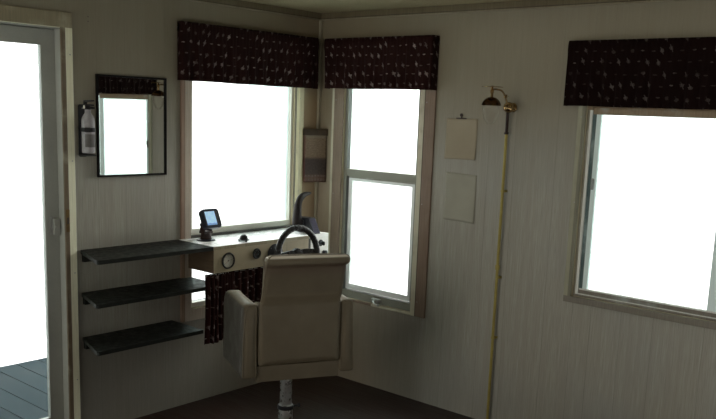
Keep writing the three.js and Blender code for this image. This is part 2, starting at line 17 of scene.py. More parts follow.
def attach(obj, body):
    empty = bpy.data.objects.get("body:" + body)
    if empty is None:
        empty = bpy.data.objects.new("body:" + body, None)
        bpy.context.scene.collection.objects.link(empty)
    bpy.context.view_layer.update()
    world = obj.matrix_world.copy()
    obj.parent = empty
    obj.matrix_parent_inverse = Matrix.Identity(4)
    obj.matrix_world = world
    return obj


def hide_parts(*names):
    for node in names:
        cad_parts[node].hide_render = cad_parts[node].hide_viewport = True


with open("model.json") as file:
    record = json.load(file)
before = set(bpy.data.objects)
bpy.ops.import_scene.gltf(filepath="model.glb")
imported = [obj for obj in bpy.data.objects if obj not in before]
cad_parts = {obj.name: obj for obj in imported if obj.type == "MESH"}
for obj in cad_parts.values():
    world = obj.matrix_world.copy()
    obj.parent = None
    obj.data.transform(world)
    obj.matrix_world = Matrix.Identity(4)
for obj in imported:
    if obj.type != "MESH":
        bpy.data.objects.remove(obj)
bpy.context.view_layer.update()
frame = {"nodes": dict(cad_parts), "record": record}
FF = 0.160
# Clearance between neighbouring pieces
GAP = 0.0003
# The console's fascia, its top, its port end, and the seam before its white starboard end
FRONT_FACE = -0.310
TOP_OF_CONSOLE = FF + 0.960 + GAP
CONSOLE_PORT = -1.0865
WHITE_SEAM = -0.368
# The helm chair's swivel, and its turn to starboard
CHAIR_X, CHAIR_Y = -1.0632, -0.8495
CHAIR_TURN = math.radians(-27)
# The way from each wall into the cabin
INTO_CABIN = {"front": (0, -1, 0), "side": (-1, 0, 0)}

# Camera, fitted to the photograph's lines
PHOTO_WIDTH = 716
PHOTO_HEIGHT = 419
FOCAL_PIXELS = 845.64
CENTRE_ROW = 262.07
CAMERA_PLACE = Vector((-3.900, -3.747, 1.850))
CAMERA_YAW = 49.14
CAMERA_PITCH = -10.144
CAMERA_ROLL = 2.141


def make_camera():
    yaw, pitch, roll = (math.radians(a) for a in (CAMERA_YAW, CAMERA_PITCH, CAMERA_ROLL))
    ahead = Vector(
        (math.sin(yaw) * math.cos(pitch), math.cos(yaw) * math.cos(pitch), math.sin(pitch))
    )
    level = Vector((math.cos(yaw), -math.sin(yaw), 0))
    upright = level.cross(ahead)
    right = math.cos(roll) * level + math.sin(roll) * upright
    up = math.cos(roll) * upright - math.sin(roll) * level
    data = bpy.data.cameras.new("camera")
    data.sensor_width = 36
    data.lens = FOCAL_PIXELS * data.sensor_width / PHOTO_WIDTH
    data.shift_y = (CENTRE_ROW - PHOTO_HEIGHT / 2) / PHOTO_WIDTH
    data.clip_start = 0.05
    data.clip_end = 200
    camera = bpy.data.objects.new("camera", data)
    bpy.context.scene.collection.objects.link(camera)
    turn = Matrix((right, up, -ahead)).transposed().to_4x4()
    camera.matrix_world = Matrix.Translation(CAMERA_PLACE) @ turn
    bpy.context.scene.camera = camera


make_camera()


# Materials. Each method of Paint adds a node and gives back its output socket.


class Paint:
    def __init__(self, name):
        self.mat = bpy.data.materials.new(name)
        self.mat.use_nodes = True
        self.tree = self.mat.node_tree
        self.tree.nodes.clear()
        output = self.tree.nodes.new("ShaderNodeOutputMaterial")
        self.shader = self.tree.nodes.new("ShaderNodeBsdfPrincipled")
        self.join(self.shader.outputs[0], output.inputs[0])
        coordinates = self.tree.nodes.new("ShaderNodeTexCoord")
        self.place = coordinates.outputs["Object"]
        self.uv = coordinates.outputs["UV"]

    def join(self, source, target):
        if hasattr(source, "is_output"):
            self.tree.links.new(source, target)
        elif isinstance(source, (tuple, list)) and len(source) == 3 and target.type == "RGBA":
            target.default_value = (*source, 1)
        else:
            target.default_value = source

    def add(self, kind, settings=None, **inputs):
        """An input goes by its name, with _ for a space, or by its number, such as i0."""
        node = self.tree.nodes.new("ShaderNode" + kind)
        for key, value in (settings or {}).items():
            setattr(node, key, value)
        for key, value in inputs.items():
            name = key.replace("_", " ")
            numbered = name[0] == "i" and name[1:].isdigit()
            self.join(value, node.inputs[int(name[1:]) if numbered else name])
        return node

    def noise(self, scale, detail, rough, stretch=None, where=None, warp=0.0):
        where = where or self.place
        if stretch:
            where = self.add("Mapping", Vector=where, Scale=stretch).outputs[0]
        return self.add(
            "TexNoise", Vector=where, Scale=scale, Detail=detail, Roughness=rough, Distortion=warp
        ).outputs[0]

    def pebbles(self, scale):
        return self.add("TexVoronoi", {"feature": "SMOOTH_F1"}, Vector=self.place, Scale=scale).outputs[0]

    def threads(self, scale, direction):
        """Sine waves over the UVs, along X or Y."""
        return self.add("TexWave", {"bands_direction": direction}, Vector=self.uv, Scale=scale).outputs[1]

    def math(self, kind, a, b=0.5, c=None, clamp=False):
        node = self.add("Math", {"operation": kind, "use_clamp": clamp}, i0=a, i1=b)
        if c is not None:
            self.join(c, node.inputs[2])
        return node.outputs[0]

    def times(self, a, b, clamp=False):
        return self.math("MULTIPLY", a, b, clamp=clamp)

    def plus(self, a, b, clamp=False):
        return self.math("ADD", a, b, clamp=clamp)

    def minus(self, a, b):
        return self.math("SUBTRACT", a, b)

    def above(self, value, limit):
        return self.math("GREATER_THAN", value, limit)

    def below(self, value, limit):
        return self.math("LESS_THAN", value, limit)

    def off(self, value, middle):
        """How far value is from middle, either way."""
        return self.math("ABSOLUTE", self.minus(value, middle))

    def band(self, value, low, high, to_low=0.0, to_high=1.0):
        """value carried smoothly from low..high to to_low..to_high, held at both ends."""
        node = self.add("MapRange", {"interpolation_type": "SMOOTHSTEP"}, Value=value)
        for name, number in (("From Min", low), ("From Max", high), ("To Min", to_low), ("To Max", to_high)):
            self.join(number, node.inputs[name])
        return node.outputs[0]

    def within(self, value, rise, fall):
        """1 between two limits, each a pair over which the change is spread."""
        return self.times(self.band(value, *rise), self.band(value, *fall, 1, 0))

    def patches(self, tone, value, low, high, share, colour):
        """tone, which goes over to colour by up to share as value goes from low to high."""
        return self.mix(self.band(value, low, high, 0, share), tone, colour)

    def mix(self, share, a, b):
        node = self.tree.nodes.new("ShaderNodeMix")
        node.data_type = "RGBA"
        self.join(share, node.inputs[0])
        self.join(a, node.inputs[6])
        self.join(b, node.inputs[7])
        return node.outputs[2]

    def ramp(self, value, *stops):
        node = self.tree.nodes.new("ShaderNodeValToRGB")
        self.join(value, node.inputs[0])
        elements = node.color_ramp.elements
        while len(elements) < len(stops):
            elements.new(0.5)
        for element, (place, colour) in zip(elements, stops):
            element.position = place
            element.color = (*colour, 1)
        return node.outputs[0]

    def split(self, vector):
        return self.add("SeparateXYZ", Vector=vector).outputs

    def bring(self, x=0.0, y=0.0, z=0.0):
        return self.add("CombineXYZ", X=x, Y=y, Z=z).outputs[0]

    def bump(self, height, distance, strength):
        return self.add("Bump", Height=height, Distance=distance, Strength=strength).outputs[0]

    def done(self, colour, rough, normal=None, **values):
        """Links colour, roughness and bump, and sets the plain values of other inputs."""
        self.join(colour, self.shader.inputs["Base Color"])
        self.join(rough, self.shader.inputs["Roughness"])
        if normal is not None:
            self.join(normal, self.shader.inputs["Normal"])
        for key, value in values.items():
            self.join(value, self.shader.inputs[key.replace("_", " ")])
        return self.mat


def shade(colour, by):
    return tuple(min(1.0, c * by) for c in colour)


def plain_wear(name, colour, rough, scale=8.0, spread=0.18, grain=0.0, **values):
    """A finish with slow patches, fine specks, uneven gloss and, if grain is set, a fine bump."""
    p = Paint(name)
    patches = p.noise(scale, 5, 0.6)
    specks = p.noise(scale * 22, 3, 0.7)
    tone = p.ramp(patches, (0.3, shade(colour, 1 - spread)), (0.7, shade(colour, 1 + spread)))
    tone = p.patches(tone, specks, 0.45, 0.75, 0.35, shade(colour, 1 - 1.6 * spread))
    gloss = p.band(p.noise(scale * 5, 4, 0.6), 0.3, 0.7, rough * 0.82, min(1, rough * 1.2))
    normal = p.bump(specks, grain, 0.6) if grain else None
    return p.done(tone, gloss, normal, **values)


def panelling():
    """Printed wall board inside, lap siding outside, told apart by how deep in the wall a point is."""
    p = Paint("wall_board")
    x, y, z = p.split(p.place)
    along = p.minus(x, y)
    where = p.bring(along, 0.0, z)
    fine = p.noise(1, 5, 0.65, stretch=(230, 1, 7), where=where)
    broad = p.noise(1, 4, 0.6, stretch=(34, 1, 1.1), where=where, warp=0.4)
    cloud = p.noise(1.6, 3, 0.5, where=where)
    board = p.ramp(
        fine, (0.28, (0.250, 0.238, 0.200)), (0.5, (0.345, 0.333, 0.285)), (0.74, (0.440, 0.428, 0.372))
    )
    board = p.patches(board, broad, 0.35, 0.68, 0.55, (0.285, 0.262, 0.215))
    board = p.patches(board, cloud, 0.42, 0.72, 0.4, (0.300, 0.305, 0.290))
    # Grooves at uneven steps that repeat with the sheets, whose joints are wider
    sheet_width = 1.2192
    first_joint = 1.7292
    joint_half, groove_half = 0.0016, 0.0007
    step = p.math("FRACT", p.math("DIVIDE", p.plus(along, first_joint), sheet_width))
    groove = None
    for place in (0.0, 0.131, 0.262, 0.459, 0.59, 0.787, 0.918):
        half = groove_half if place else joint_half
        near = p.off(step, place)
        line = p.band(near, half * 0.45, half * 1.3, 1, 0)
        groove = line if groove is None else p.math("MAXIMUM", groove, line)
    board = p.mix(p.times(groove, 0.55), board, (0.085, 0.075, 0.055))
    damp = p.band(z, 0.16, 0.55, 0.35, 0)
    board = p.mix(p.times(damp, cloud), board, (0.11, 0.10, 0.085))
    # Painted warm light: the board turns browner towards the corner by the windows
    from_corner = p.plus(p.math("ABSOLUTE", x), p.math("ABSOLUTE", y))
    board = p.mix(p.band(from_corner, 0.25, 1.0, 0.55, 0), board, (0.300, 0.215, 0.130))
    # Painted shade: darker and browner towards the ceiling
    board = p.patches(board, z, 1.40, 2.05, 0.72, (0.205, 0.172, 0.110))
    # Painted warm light on the front wall between its window and the corner, weaker towards the valance
    front_strip = p.times(p.band(x, -0.24, -0.17), p.below(x, -0.001))
    low_strip = p.times(front_strip, p.band(z, FF + 1.70, FF + 1.85, 0.55, 0.12))
    board = p.mix(low_strip, board, (0.50, 0.345, 0.200))
    under_window = p.times(p.band(z, 0.60, 0.72, 1, 0), p.band(y, -0.95, -0.80))
    board = p.mix(p.times(under_window, 0.45), board, (0.12, 0.11, 0.09))
    board_thickness, siding_from = 0.001, 0.06
    depth = p.math("MAXIMUM", x, y)
    board = p.mix(p.above(depth, board_thickness), board, (0.52, 0.45, 0.31))
    outside = p.above(depth, siding_from)
    stain = p.noise(1, 4, 0.6, stretch=(14, 14, 1.2))
    siding = p.ramp(stain, (0.3, (0.27, 0.273, 0.262)), (0.62, (0.335, 0.338, 0.326)))
    siding = p.patches(siding, p.noise(60, 3, 0.6), 0.6, 0.8, 0.25, (0.20, 0.195, 0.175))
    colour = p.mix(outside, board, siding)
    relief = p.minus(p.times(fine, 0.25), groove)
    normal = p.bump(relief, 0.0012, 0.55)
    gloss = p.band(fine, 0.3, 0.7, 0.42, 0.6)
    return p.done(colour, gloss, normal)


def ceiling_board():
    """Mottled board with a joint in each direction."""
    p = Paint("ceiling_board")
    joint_x, joint_y = -1.9, -1.22
    mottle = p.noise(140, 5, 0.7)
    cloud = p.noise(2.2, 3, 0.5)
    x, y, _ = p.split(p.place)
    joints = [p.band(p.off(a, place), 0.0015, 0.004, 1, 0) for a, place in ((x, joint_x), (y, joint_y))]
    seam = p.math("MAXIMUM", *joints)
    tone = p.ramp(mottle, (0.35, (0.27, 0.225, 0.130)), (0.65, (0.37, 0.315, 0.190)))
    tone = p.patches(tone, cloud, 0.4, 0.7, 0.35, (0.25, 0.205, 0.120))
    tone = p.mix(p.times(seam, 0.6), tone, (0.12, 0.10, 0.07))
    normal = p.bump(p.minus(mottle, seam), 0.0012, 0.6)
    return p.done(tone, 0.75, normal)


def planks(name, width, dark, light, rough, seam_colour, wear_colour, grain_scale=90, shine=0.5):
    """Boards side by side along X, each with its own tone and its grain along Y."""
    p = Paint(name)
    side, run, _ = p.split(p.place)
    board = p.math("DIVIDE", side, width)
    number = p.math("FLOOR", board)
    own = p.add("TexWhiteNoise", {"noise_dimensions": "1D"}, W=number).outputs[0]
    run_shifted = p.plus(run, p.times(own, 7.3))
    where = p.bring(side, run_shifted, number)
    grain = p.noise(1, 6, 0.65, stretch=(grain_scale, 3.2, 1), where=where, warp=0.3)
    tone = p.ramp(grain, (0.3, dark), (0.72, light))
    tone = p.mix(p.times(own, 0.45), tone, shade(dark, 0.8))
    worn = p.band(p.noise(3.1, 5, 0.65), 0.52, 0.72)
    worn = p.times(worn, p.band(p.noise(46, 4, 0.7), 0.4, 0.65))
    tone = p.mix(p.times(worn, 0.7), tone, wear_colour)
    edge = p.off(p.math("FRACT", board), 0.5)
    seam = p.band(edge, 0.5 - 0.0025 / width, 0.5 - 0.0008 / width, 0, 1)
    tone = p.mix(seam, tone, seam_colour)
    normal = p.bump(p.minus(p.times(grain, 0.4), seam), 0.0014, 0.5)
    gloss = p.band(grain, 0.3, 0.7, rough * 0.8, rough * 1.15)
    return p.done(tone, gloss, normal, Specular_IOR_Level=shine)


def framing_timber():
    p = Paint("framing_timber")
    rings = p.noise(1, 5, 0.6, stretch=(5, 60, 60), warp=0.6)
    cloud = p.noise(3, 4, 0.55)
    tone = p.ramp(rings, (0.3, (0.24, 0.17, 0.10)), (0.7, (0.42, 0.33, 0.21)))
    tone = p.patches(tone, cloud, 0.45, 0.7, 0.6, (0.22, 0.20, 0.17))
    return p.done(tone, 0.8, p.bump(rings, 0.0015, 0.6))


def pane(name, tint, least=0.05, mirror=1.0):
    """Flat glass: clear when met head on and more of a mirror at a slant."""
    p = Paint(name)
    head_on = 0.04
    slant = p.add("Fresnel", IOR=1.5).outputs[0]
    dust = p.noise(5, 5, 0.65)
    film = p.plus(p.band(dust, 0.5, 0.8, 0, 0.03), least - head_on * mirror)
    p.join(p.plus(p.times(slant, mirror), film, clamp=True), p.shader.inputs["Alpha"])
    return p.done(tint, p.band(dust, 0.4, 0.8, 0.02, 0.08))


def silvered():
    p = Paint("silvered_glass")
    smudge = p.noise(7, 5, 0.6)
    return p.done((0.86, 0.90, 0.89), p.band(smudge, 0.5, 0.85, 0.01, 0.07), Metallic=1.0)


def printed_cotton(name, depth):
    """Dark cotton with pale sprigs in uneven rows. The UVs are metres on the flat cloth. depth scales every
    tone; below 1 the cotton is darkened as painted shade.
    """
    p = Paint(name)
    u, v, _ = p.split(p.uv)
    pitch = 0.061
    rise = 0.054
    blur = p.noise(1, 3, 0.6, stretch=(95, 95, 1), where=p.uv)
    high = p.math("DIVIDE", v, rise)
    row = p.math("FLOOR", high)
    across = p.plus(p.math("DIVIDE", u, pitch), p.times(row, 0.31))
    column = p.math("FLOOR", across)
    own = p.add("TexWhiteNoise", Vector=p.bring(column, row, 0.0)).outputs[0]
    lift, kind, strength = (p.math("FRACT", p.times(own, by)) for by in (7.31, 13.7, 29.3))
    dash = p.above(kind, 0.55)
    x = p.minus(p.math("FRACT", across), p.math("MULTIPLY_ADD", own, 0.30, 0.35))
    y = p.minus(p.math("FRACT", high), p.math("MULTIPLY_ADD", lift, 0.24, 0.38))
    # A cell holds a dash or a ragged blob with a stalk
    tall = p.times(y, p.math("MULTIPLY_ADD", dash, 1.7, 1.25))
    radius = p.math("SQRT", p.plus(p.times(x, x), p.times(tall, tall)))
    ragged = p.math("MULTIPLY_ADD", p.minus(blur, 0.5), 0.42, 0.195)
    flower = p.band(p.minus(radius, ragged), -0.05, 0.04, 1, 0)
    stalk_x = p.off(x, p.times(y, 0.5))
    stalk_end = p.band(p.math("ABSOLUTE", y), 0.26, 0.36, 1, 0)
    stalk = p.times(p.band(stalk_x, 0.03, 0.07, 1, 0), stalk_end)
    leaf = p.times(stalk, p.minus(1.0, dash))
    stain = p.noise(3.5, 4, 0.6)
    # depth below 1 darkens every tone as painted shade
    dark, light = (shade(colour, depth) for colour in ((0.0130, 0.0046, 0.0039), (0.0230, 0.0084, 0.0070)))
    cloth = p.ramp(stain, (0.3, dark), (0.7, light))
    faded = p.band(p.noise(16, 2, 0.5, where=p.uv), 0.42, 0.62)
    tone = p.mix(p.times(leaf, faded), cloth, shade((0.16, 0.135, 0.13), depth))
    share = p.times(flower, p.math("MULTIPLY_ADD", faded, 0.55, 0.25))
    share = p.times(share, p.math("MULTIPLY_ADD", strength, 0.8, 0.45), clamp=True)
    tone = p.mix(share, tone, shade((0.25, 0.205, 0.19), depth))
    threads = p.times(*(p.threads(390, way) for way in "XY"))
    tone = p.mix(p.times(threads, 0.14), tone, shade((0.030, 0.010, 0.010), depth))
    normal = p.bump(p.plus(threads, p.times(p.noise(120, 3, 0.6), 0.8)), 0.0005, 0.5)
    return p.done(tone, 0.95, normal, Specular_IOR_Level=0.15)


def upholstery(name, colour, spread=0.1, zones=None):
    """Vinyl with a pebbled grain, slow stains and slightly glossier rubbed patches."""
    p = Paint(name)
    pebbles = p.pebbles(620)
    creases = p.noise(210, 4, 0.65)
    stain = p.noise(5.5, 5, 0.6)
    rub = p.noise(11, 4, 0.6, warp=0.3)
    tone = p.ramp(stain, (0.3, shade(colour, 1 - spread)), (0.7, shade(colour, 1 + spread)))
    tone = p.patches(tone, rub, 0.55, 0.8, 0.4, shade(colour, 1.25))
    tone = p.patches(tone, creases, 0.55, 0.75, 0.35, shade(colour, 0.7))
    if zones:
        tone = zones(p, tone)
    relief = p.plus(p.times(pebbles, 0.8), p.times(creases, 0.7))
    gloss = p.band(rub, 0.3, 0.75, 0.58, 0.40)
    return p.done(tone, gloss, p.bump(relief, 0.0006, 0.5))


def chair_side(p):
    """Distance to starboard of the chair's middle plane and height, for a piece in the cabin's axes."""
    x, y, z = p.split(p.place)
    from_x = p.times(p.minus(x, CHAIR_X), math.cos(CHAIR_TURN))
    from_y = p.times(p.minus(y, CHAIR_Y), math.sin(CHAIR_TURN))
    return p.plus(from_x, from_y), z


def back_painted_light(p, tone):
    """Painted light on the back: a painted highlight along its top, painted shade in a band under its roll, a
    painted lighter band over the bend where it faces down, and painted shade on the end of the roll.
    """
    side, z = chair_side(p)
    # Painted shade: a darker band under the overhanging roll
    under = p.within(z, (FF + 0.925, FF + 0.985), (FF + 0.990, FF + 1.000))
    tone = p.mix(p.times(under, 0.55), tone, (0.085, 0.052, 0.040))
    # Painted light: a lighter band over the bend, against the shade where the back faces down
    bend = p.within(z, (FF + 0.790, FF + 0.808), (FF + 0.835, FF + 0.860))
    tone = p.mix(p.times(bend, 0.6), tone, (0.185, 0.150, 0.100))
    # Painted highlight along the top of the roll
    tone = p.mix(p.band(z, FF + 1.021, FF + 1.029), tone, (0.72, 0.66, 0.55))
    # Painted shade on the starboard end of the roll
    end = p.times(p.band(side, 0.196, 0.203), p.band(z, FF + 0.990, FF + 0.998))
    return p.mix(end, tone, (0.022, 0.018, 0.015))


def arm_painted_light(p, tone):
    """Painted shade on the outer faces of the arms, and a painted highlight on their tops."""
    side, z = chair_side(p)
    # Painted shade on the arms' outer faces
    outer = p.band(p.math("ABSOLUTE", side), 0.262, 0.277)
    tone = p.mix(p.times(outer, 0.9), tone, (0.046, 0.042, 0.035))
    # Painted highlight on the arms' tops
    return p.mix(p.times(p.band(z, FF + 0.785, FF + 0.798), 0.5), tone, (0.21, 0.18, 0.13))


def calendar_print():
    """A hung calendar's generic blocks: a streaky picture, a dark month block and a row of pale squares."""
    p = Paint("calendar_sheet")
    u, v, _ = p.split(p.uv)
    streaks = p.noise(1, 5, 0.7, stretch=(9, 60, 1), where=p.uv)
    picture = p.ramp(
        streaks, (0.3, (0.085, 0.056, 0.034)), (0.6, (0.225, 0.162, 0.104)), (0.75, (0.34, 0.27, 0.19))
    )
    mottle = p.noise(1, 4, 0.6, stretch=(16, 22, 1), where=p.uv)
    block = p.ramp(mottle, (0.35, (0.023, 0.014, 0.013)), (0.7, (0.075, 0.050, 0.043)))
    tone = p.mix(p.band(v, 0.47, 0.55), block, picture)
    cell_u = p.math("FRACT", p.times(u, 7.0))
    cell_v = p.math("FRACT", p.times(v, 13.0))
    inside = p.times(p.above(cell_u, 0.22), p.above(cell_v, 0.3))
    squares = p.times(inside, p.below(v, 0.15))
    tone = p.mix(p.times(squares, p.band(mottle, 0.35, 0.65, 0.2, 0.8)), tone, (0.24, 0.23, 0.22))
    foot = p.band(p.plus(v, p.times(mottle, 0.1)), 0.16, 0.24, 1, 0)
    tone = p.mix(p.times(foot, 0.6), tone, (0.125, 0.060, 0.035))
    tone = p.patches(tone, v, 0.90, 0.97, 0.6, (0.22, 0.195, 0.155))
    tone = p.mix(p.times(p.band(u, 0.03, 0.09, 1, 0), 0.6), tone, (0.16, 0.050, 0.040))
    return p.done(tone, p.band(mottle, 0.3, 0.7, 0.45, 0.62), p.bump(p.noise(14, 3, 0.5), 0.001, 0.4))


def blank_paper():
    """Aged paper. The lower of the two sheets is cooler."""
    p = Paint("blank_paper")
    fibres = p.noise(420, 4, 0.7)
    age = p.noise(6, 4, 0.55)
    tone = p.ramp(age, (0.3, (0.295, 0.255, 0.182)), (0.7, (0.335, 0.292, 0.212)))
    lower_sheet = p.band(p.split(p.place)[2], FF + 1.38, FF + 1.44, 1, 0)
    tone = p.mix(lower_sheet, tone, p.ramp(age, (0.3, (0.300, 0.293, 0.238)), (0.7, (0.350, 0.340, 0.280))))
    tone = p.patches(tone, fibres, 0.5, 0.75, 0.25, (0.25, 0.218, 0.155))
    relief = p.plus(p.times(fibres, 0.2), p.noise(9, 3, 0.5))
    return p.done(tone, 0.85, p.bump(relief, 0.0012, 0.4))


def helm_paint():
    """Beige fascia, a white panel at its starboard end behind a dark seam, and a brown port end darkened as
    painted shade.
    """
    p = Paint("helm_paint")
    x = p.split(p.place)[0]
    cloud = p.noise(6, 5, 0.6)
    specks = p.noise(130, 3, 0.7)
    beige = p.ramp(cloud, (0.3, (0.275, 0.237, 0.155)), (0.7, (0.33, 0.285, 0.19)))
    white = p.ramp(cloud, (0.3, (0.74, 0.74, 0.71)), (0.7, (0.84, 0.84, 0.81)))
    grain = p.noise(1, 5, 0.65, stretch=(60, 6, 90))
    brown = p.ramp(grain, (0.3, (0.060, 0.040, 0.024)), (0.7, (0.115, 0.080, 0.050)))
    tone = p.mix(p.above(x, WHITE_SEAM), beige, white)
    line = p.band(p.off(x, WHITE_SEAM), 0.0085, 0.010, 1, 0)
    tone = p.mix(line, tone, (0.03, 0.028, 0.025))
    # The brown port end, darkened as painted shade
    tone = p.mix(p.below(x, CONSOLE_PORT), tone, brown)
    tone = p.patches(tone, specks, 0.5, 0.75, 0.2, (0.13, 0.11, 0.08))
    drip = p.noise(1, 4, 0.6, stretch=(28, 28, 3))
    tone = p.patches(tone, drip, 0.6, 0.8, 0.3, (0.14, 0.12, 0.085))
    relief = p.minus(p.times(specks, 0.3), line)
    return p.done(tone, p.band(cloud, 0.3, 0.7, 0.4, 0.52), p.bump(relief, 0.0008, 0.4))


def speckled_top():
    """White laminate with faint scuffs, and a beige edge port of the seam."""
    p = Paint("speckled_top")
    scuff = p.noise(1, 5, 0.7, stretch=(9, 30, 1))
    dust = p.noise(70, 4, 0.7)
    tone = p.ramp(scuff, (0.35, (0.84, 0.845, 0.83)), (0.7, (0.90, 0.905, 0.89)))
    tone = p.patches(tone, dust, 0.6, 0.8, 0.3, (0.55, 0.54, 0.50))
    x, _, z = p.split(p.place)
    edge = p.below(z, TOP_OF_CONSOLE - 0.0025)
    port_of_seam = p.below(x, WHITE_SEAM)
    tone = p.mix(p.times(edge, port_of_seam), tone, (0.26, 0.23, 0.155))
    return p.done(tone, p.band(scuff, 0.3, 0.7, 0.2, 0.34))


def dial(name, face, haze):
    """A dial's face with a fine grain and hazy patches."""
    p = Paint(name)
    grain = p.noise(300, 3, 0.6)
    tone = p.ramp(grain, (0.3, shade(face, 0.93)), (0.7, shade(face, 1.05)))
    return p.done(p.patches(tone, p.noise(30, 4, 0.6), 0.6, 0.8, 0.25, haze), 0.55)


def screen():
    """A plotter's lit display: pale blue with a deeper sea bed curve at its foot."""
    p = Paint("lit_screen")
    v = p.split(p.uv)[1]
    swell = p.noise(1, 3, 0.5, stretch=(5, 0.2, 1), where=p.uv)
    bed = p.below(v, p.math("MULTIPLY_ADD", swell, 0.24, 0.02))
    haze = p.noise(1, 4, 0.6, stretch=(3, 3, 1), where=p.uv)
    water = p.ramp(haze, (0.3, (0.33, 0.56, 0.80)), (0.7, (0.50, 0.72, 0.92)))
    tone = p.mix(bed, water, (0.20, 0.36, 0.62))
    p.join(tone, p.shader.inputs["Emission Color"])
    return p.done(tone, p.band(haze, 0.3, 0.7, 0.10, 0.18), Emission_Strength=0.35)


def keypad():
    """Soft keys in a grid, greyish violet in the window's light."""
    p = Paint("keypad_face")
    u, v, _ = p.split(p.uv)
    cell_u = p.off(p.math("FRACT", p.times(u, 5.0)), 0.5)
    cell_v = p.off(p.math("FRACT", p.times(v, 8.0)), 0.5)
    edge = p.math("MAXIMUM", cell_u, cell_v)
    key = p.band(edge, 0.34, 0.42, 1, 0)
    worn = p.noise(60, 4, 0.6)
    face = p.ramp(worn, (0.3, (0.030, 0.027, 0.050)), (0.7, (0.075, 0.068, 0.112)))
    tone = p.mix(key, (0.008, 0.008, 0.012), face)
    return p.done(tone, p.band(worn, 0.3, 0.7, 0.5, 0.62), p.bump(key, 0.0012, 0.8), Specular_IOR_Level=0.2)


def frame_paint(name, axis, face, jamb, jamb_from, jamb_to, rail=None):
    """A window frame's paint, with another tone on a stretch of its jambs and on its middle rail."""
    p = Paint(name)
    places = p.split(p.place)
    depth = places[axis]
    cloud = p.noise(6, 5, 0.6)
    chips = p.noise(90, 3, 0.7)
    tone = p.ramp(cloud, (0.3, shade(face, 0.9)), (0.7, shade(face, 1.1)))
    inside = p.times(p.above(depth, jamb_from), p.below(depth, jamb_to))
    tone = p.mix(inside, tone, jamb)
    if rail:
        low, high, colour = rail
        on_rail = p.within(places[2], (low, low + 0.001), (high, high + 0.001))
        tone = p.mix(on_rail, tone, colour)
    tone = p.patches(tone, chips, 0.6, 0.8, 0.3, shade(face, 0.6))
    return p.done(tone, p.band(cloud, 0.3, 0.7, 0.36, 0.5), p.bump(chips, 0.0003, 0.5))


def side_casing_paint():
    """Brown board, darkened as painted shade, with a pale inner strip behind a groove on the aft side and a
    painted highlight along the forward edge.
    """
    p = Paint("side_casing_wood")
    strip_edge, groove_place, forward_edge = -0.836, -0.838, -0.143
    y = p.split(p.place)[1]
    fine = p.noise(1, 5, 0.65, stretch=(160, 160, 6))
    soft = p.noise(9, 4, 0.55)
    # Brown wood, darker than the other casings as painted shade
    brown = p.ramp(fine, (0.3, (0.165, 0.112, 0.078)), (0.68, (0.235, 0.168, 0.122)))
    pale = p.ramp(fine, (0.3, (0.46, 0.43, 0.32)), (0.68, (0.58, 0.545, 0.42)))
    strip = p.above(y, strip_edge)
    aft = p.below(y, -0.5)
    # Painted highlight along the casing's forward edge
    highlight_edge = p.above(y, forward_edge)
    tone = p.mix(p.math("MAXIMUM", p.times(strip, aft), highlight_edge), brown, pale)
    groove = p.band(p.off(y, groove_place), 0.002, 0.0035, 1, 0)
    tone = p.mix(groove, tone, (0.07, 0.05, 0.03))
    tone = p.patches(tone, soft, 0.5, 0.75, 0.35, (0.14, 0.10, 0.07))
    relief = p.minus(fine, groove)
    return p.done(tone, p.band(soft, 0.3, 0.7, 0.42, 0.6), p.bump(relief, 0.0008, 0.5))


def zoned_wood(name, zones, dark, light, node=None):
    """Wood or paint whose tone changes in zones: each is an axis, its limits at rest and a tone."""
    p = Paint(name)
    # A moving node's own axes start at its joint
    origin = frame["nodes"][node].matrix_world.translation if node else (0, 0, 0)
    axes = p.split(p.place)
    fine = p.noise(1, 5, 0.65, stretch=(160, 160, 6))
    soft = p.noise(9, 4, 0.55)
    tone = p.ramp(fine, (0.3, dark), (0.68, light))
    for axis, low, high, colour in zones:
        low, high = low - origin[axis], high - origin[axis]
        zone = p.within(axes[axis], (low - 0.001, low + 0.001), (high - 0.001, high + 0.001))
        tone = p.mix(zone, tone, p.ramp(fine, (0.3, shade(colour, 0.85)), (0.68, shade(colour, 1.15))))
    tone = p.patches(tone, soft, 0.5, 0.75, 0.35, shade(dark, 0.8))
    return p.done(tone, p.band(soft, 0.3, 0.7, 0.42, 0.6), p.bump(fine, 0.0006, 0.5))


def front_casing_paint():
    """Brown stripes on its port side; near the corner, cream as painted light from the side window, with a
    painted shadow line at the opening's edge and a painted highlight on the bead beside it.
    """
    zones = [
        # Painted light from the side window: cream near the corner, a painted shadow line at the opening and
        # a painted highlight on the bead
        (0, -0.2600, 0.0, (0.72, 0.64, 0.44)),
        (0, -0.2110, -0.2060, (0.16, 0.135, 0.09)),
        (0, -0.2040, -0.1810, (0.90, 0.80, 0.55)),
        (0, -1.0710, -1.0480, (0.26, 0.175, 0.125)),
        (0, -1.0485, -1.0445, (0.17, 0.14, 0.105)),
    ]
    return zoned_wood("front_casing_wood", zones, (0.35, 0.30, 0.240), (0.49, 0.43, 0.35))


def door_casing_paint():
    """Beige face, with a brown strip against the sliding door's jamb and a darker head."""
    jamb = (0, -1.765, -1.7385, (0.155, 0.118, 0.078))
    head = (2, FF + 2.022, FF + 2.20, (0.27, 0.235, 0.155))
    return zoned_wood("door_casing_wood", [jamb, head], (0.72, 0.71, 0.53), (0.92, 0.91, 0.71))


def aft_casing_paint():
    """Olive like the wall, darker towards the opening and below it."""
    zones = [(1, -1.815, -1.800, (0.20, 0.19, 0.14)), (2, 0.0, FF + 0.803, (0.195, 0.175, 0.145))]
    return zoned_wood("aft_casing_wood", zones, (0.29, 0.28, 0.20), (0.37, 0.36, 0.265))


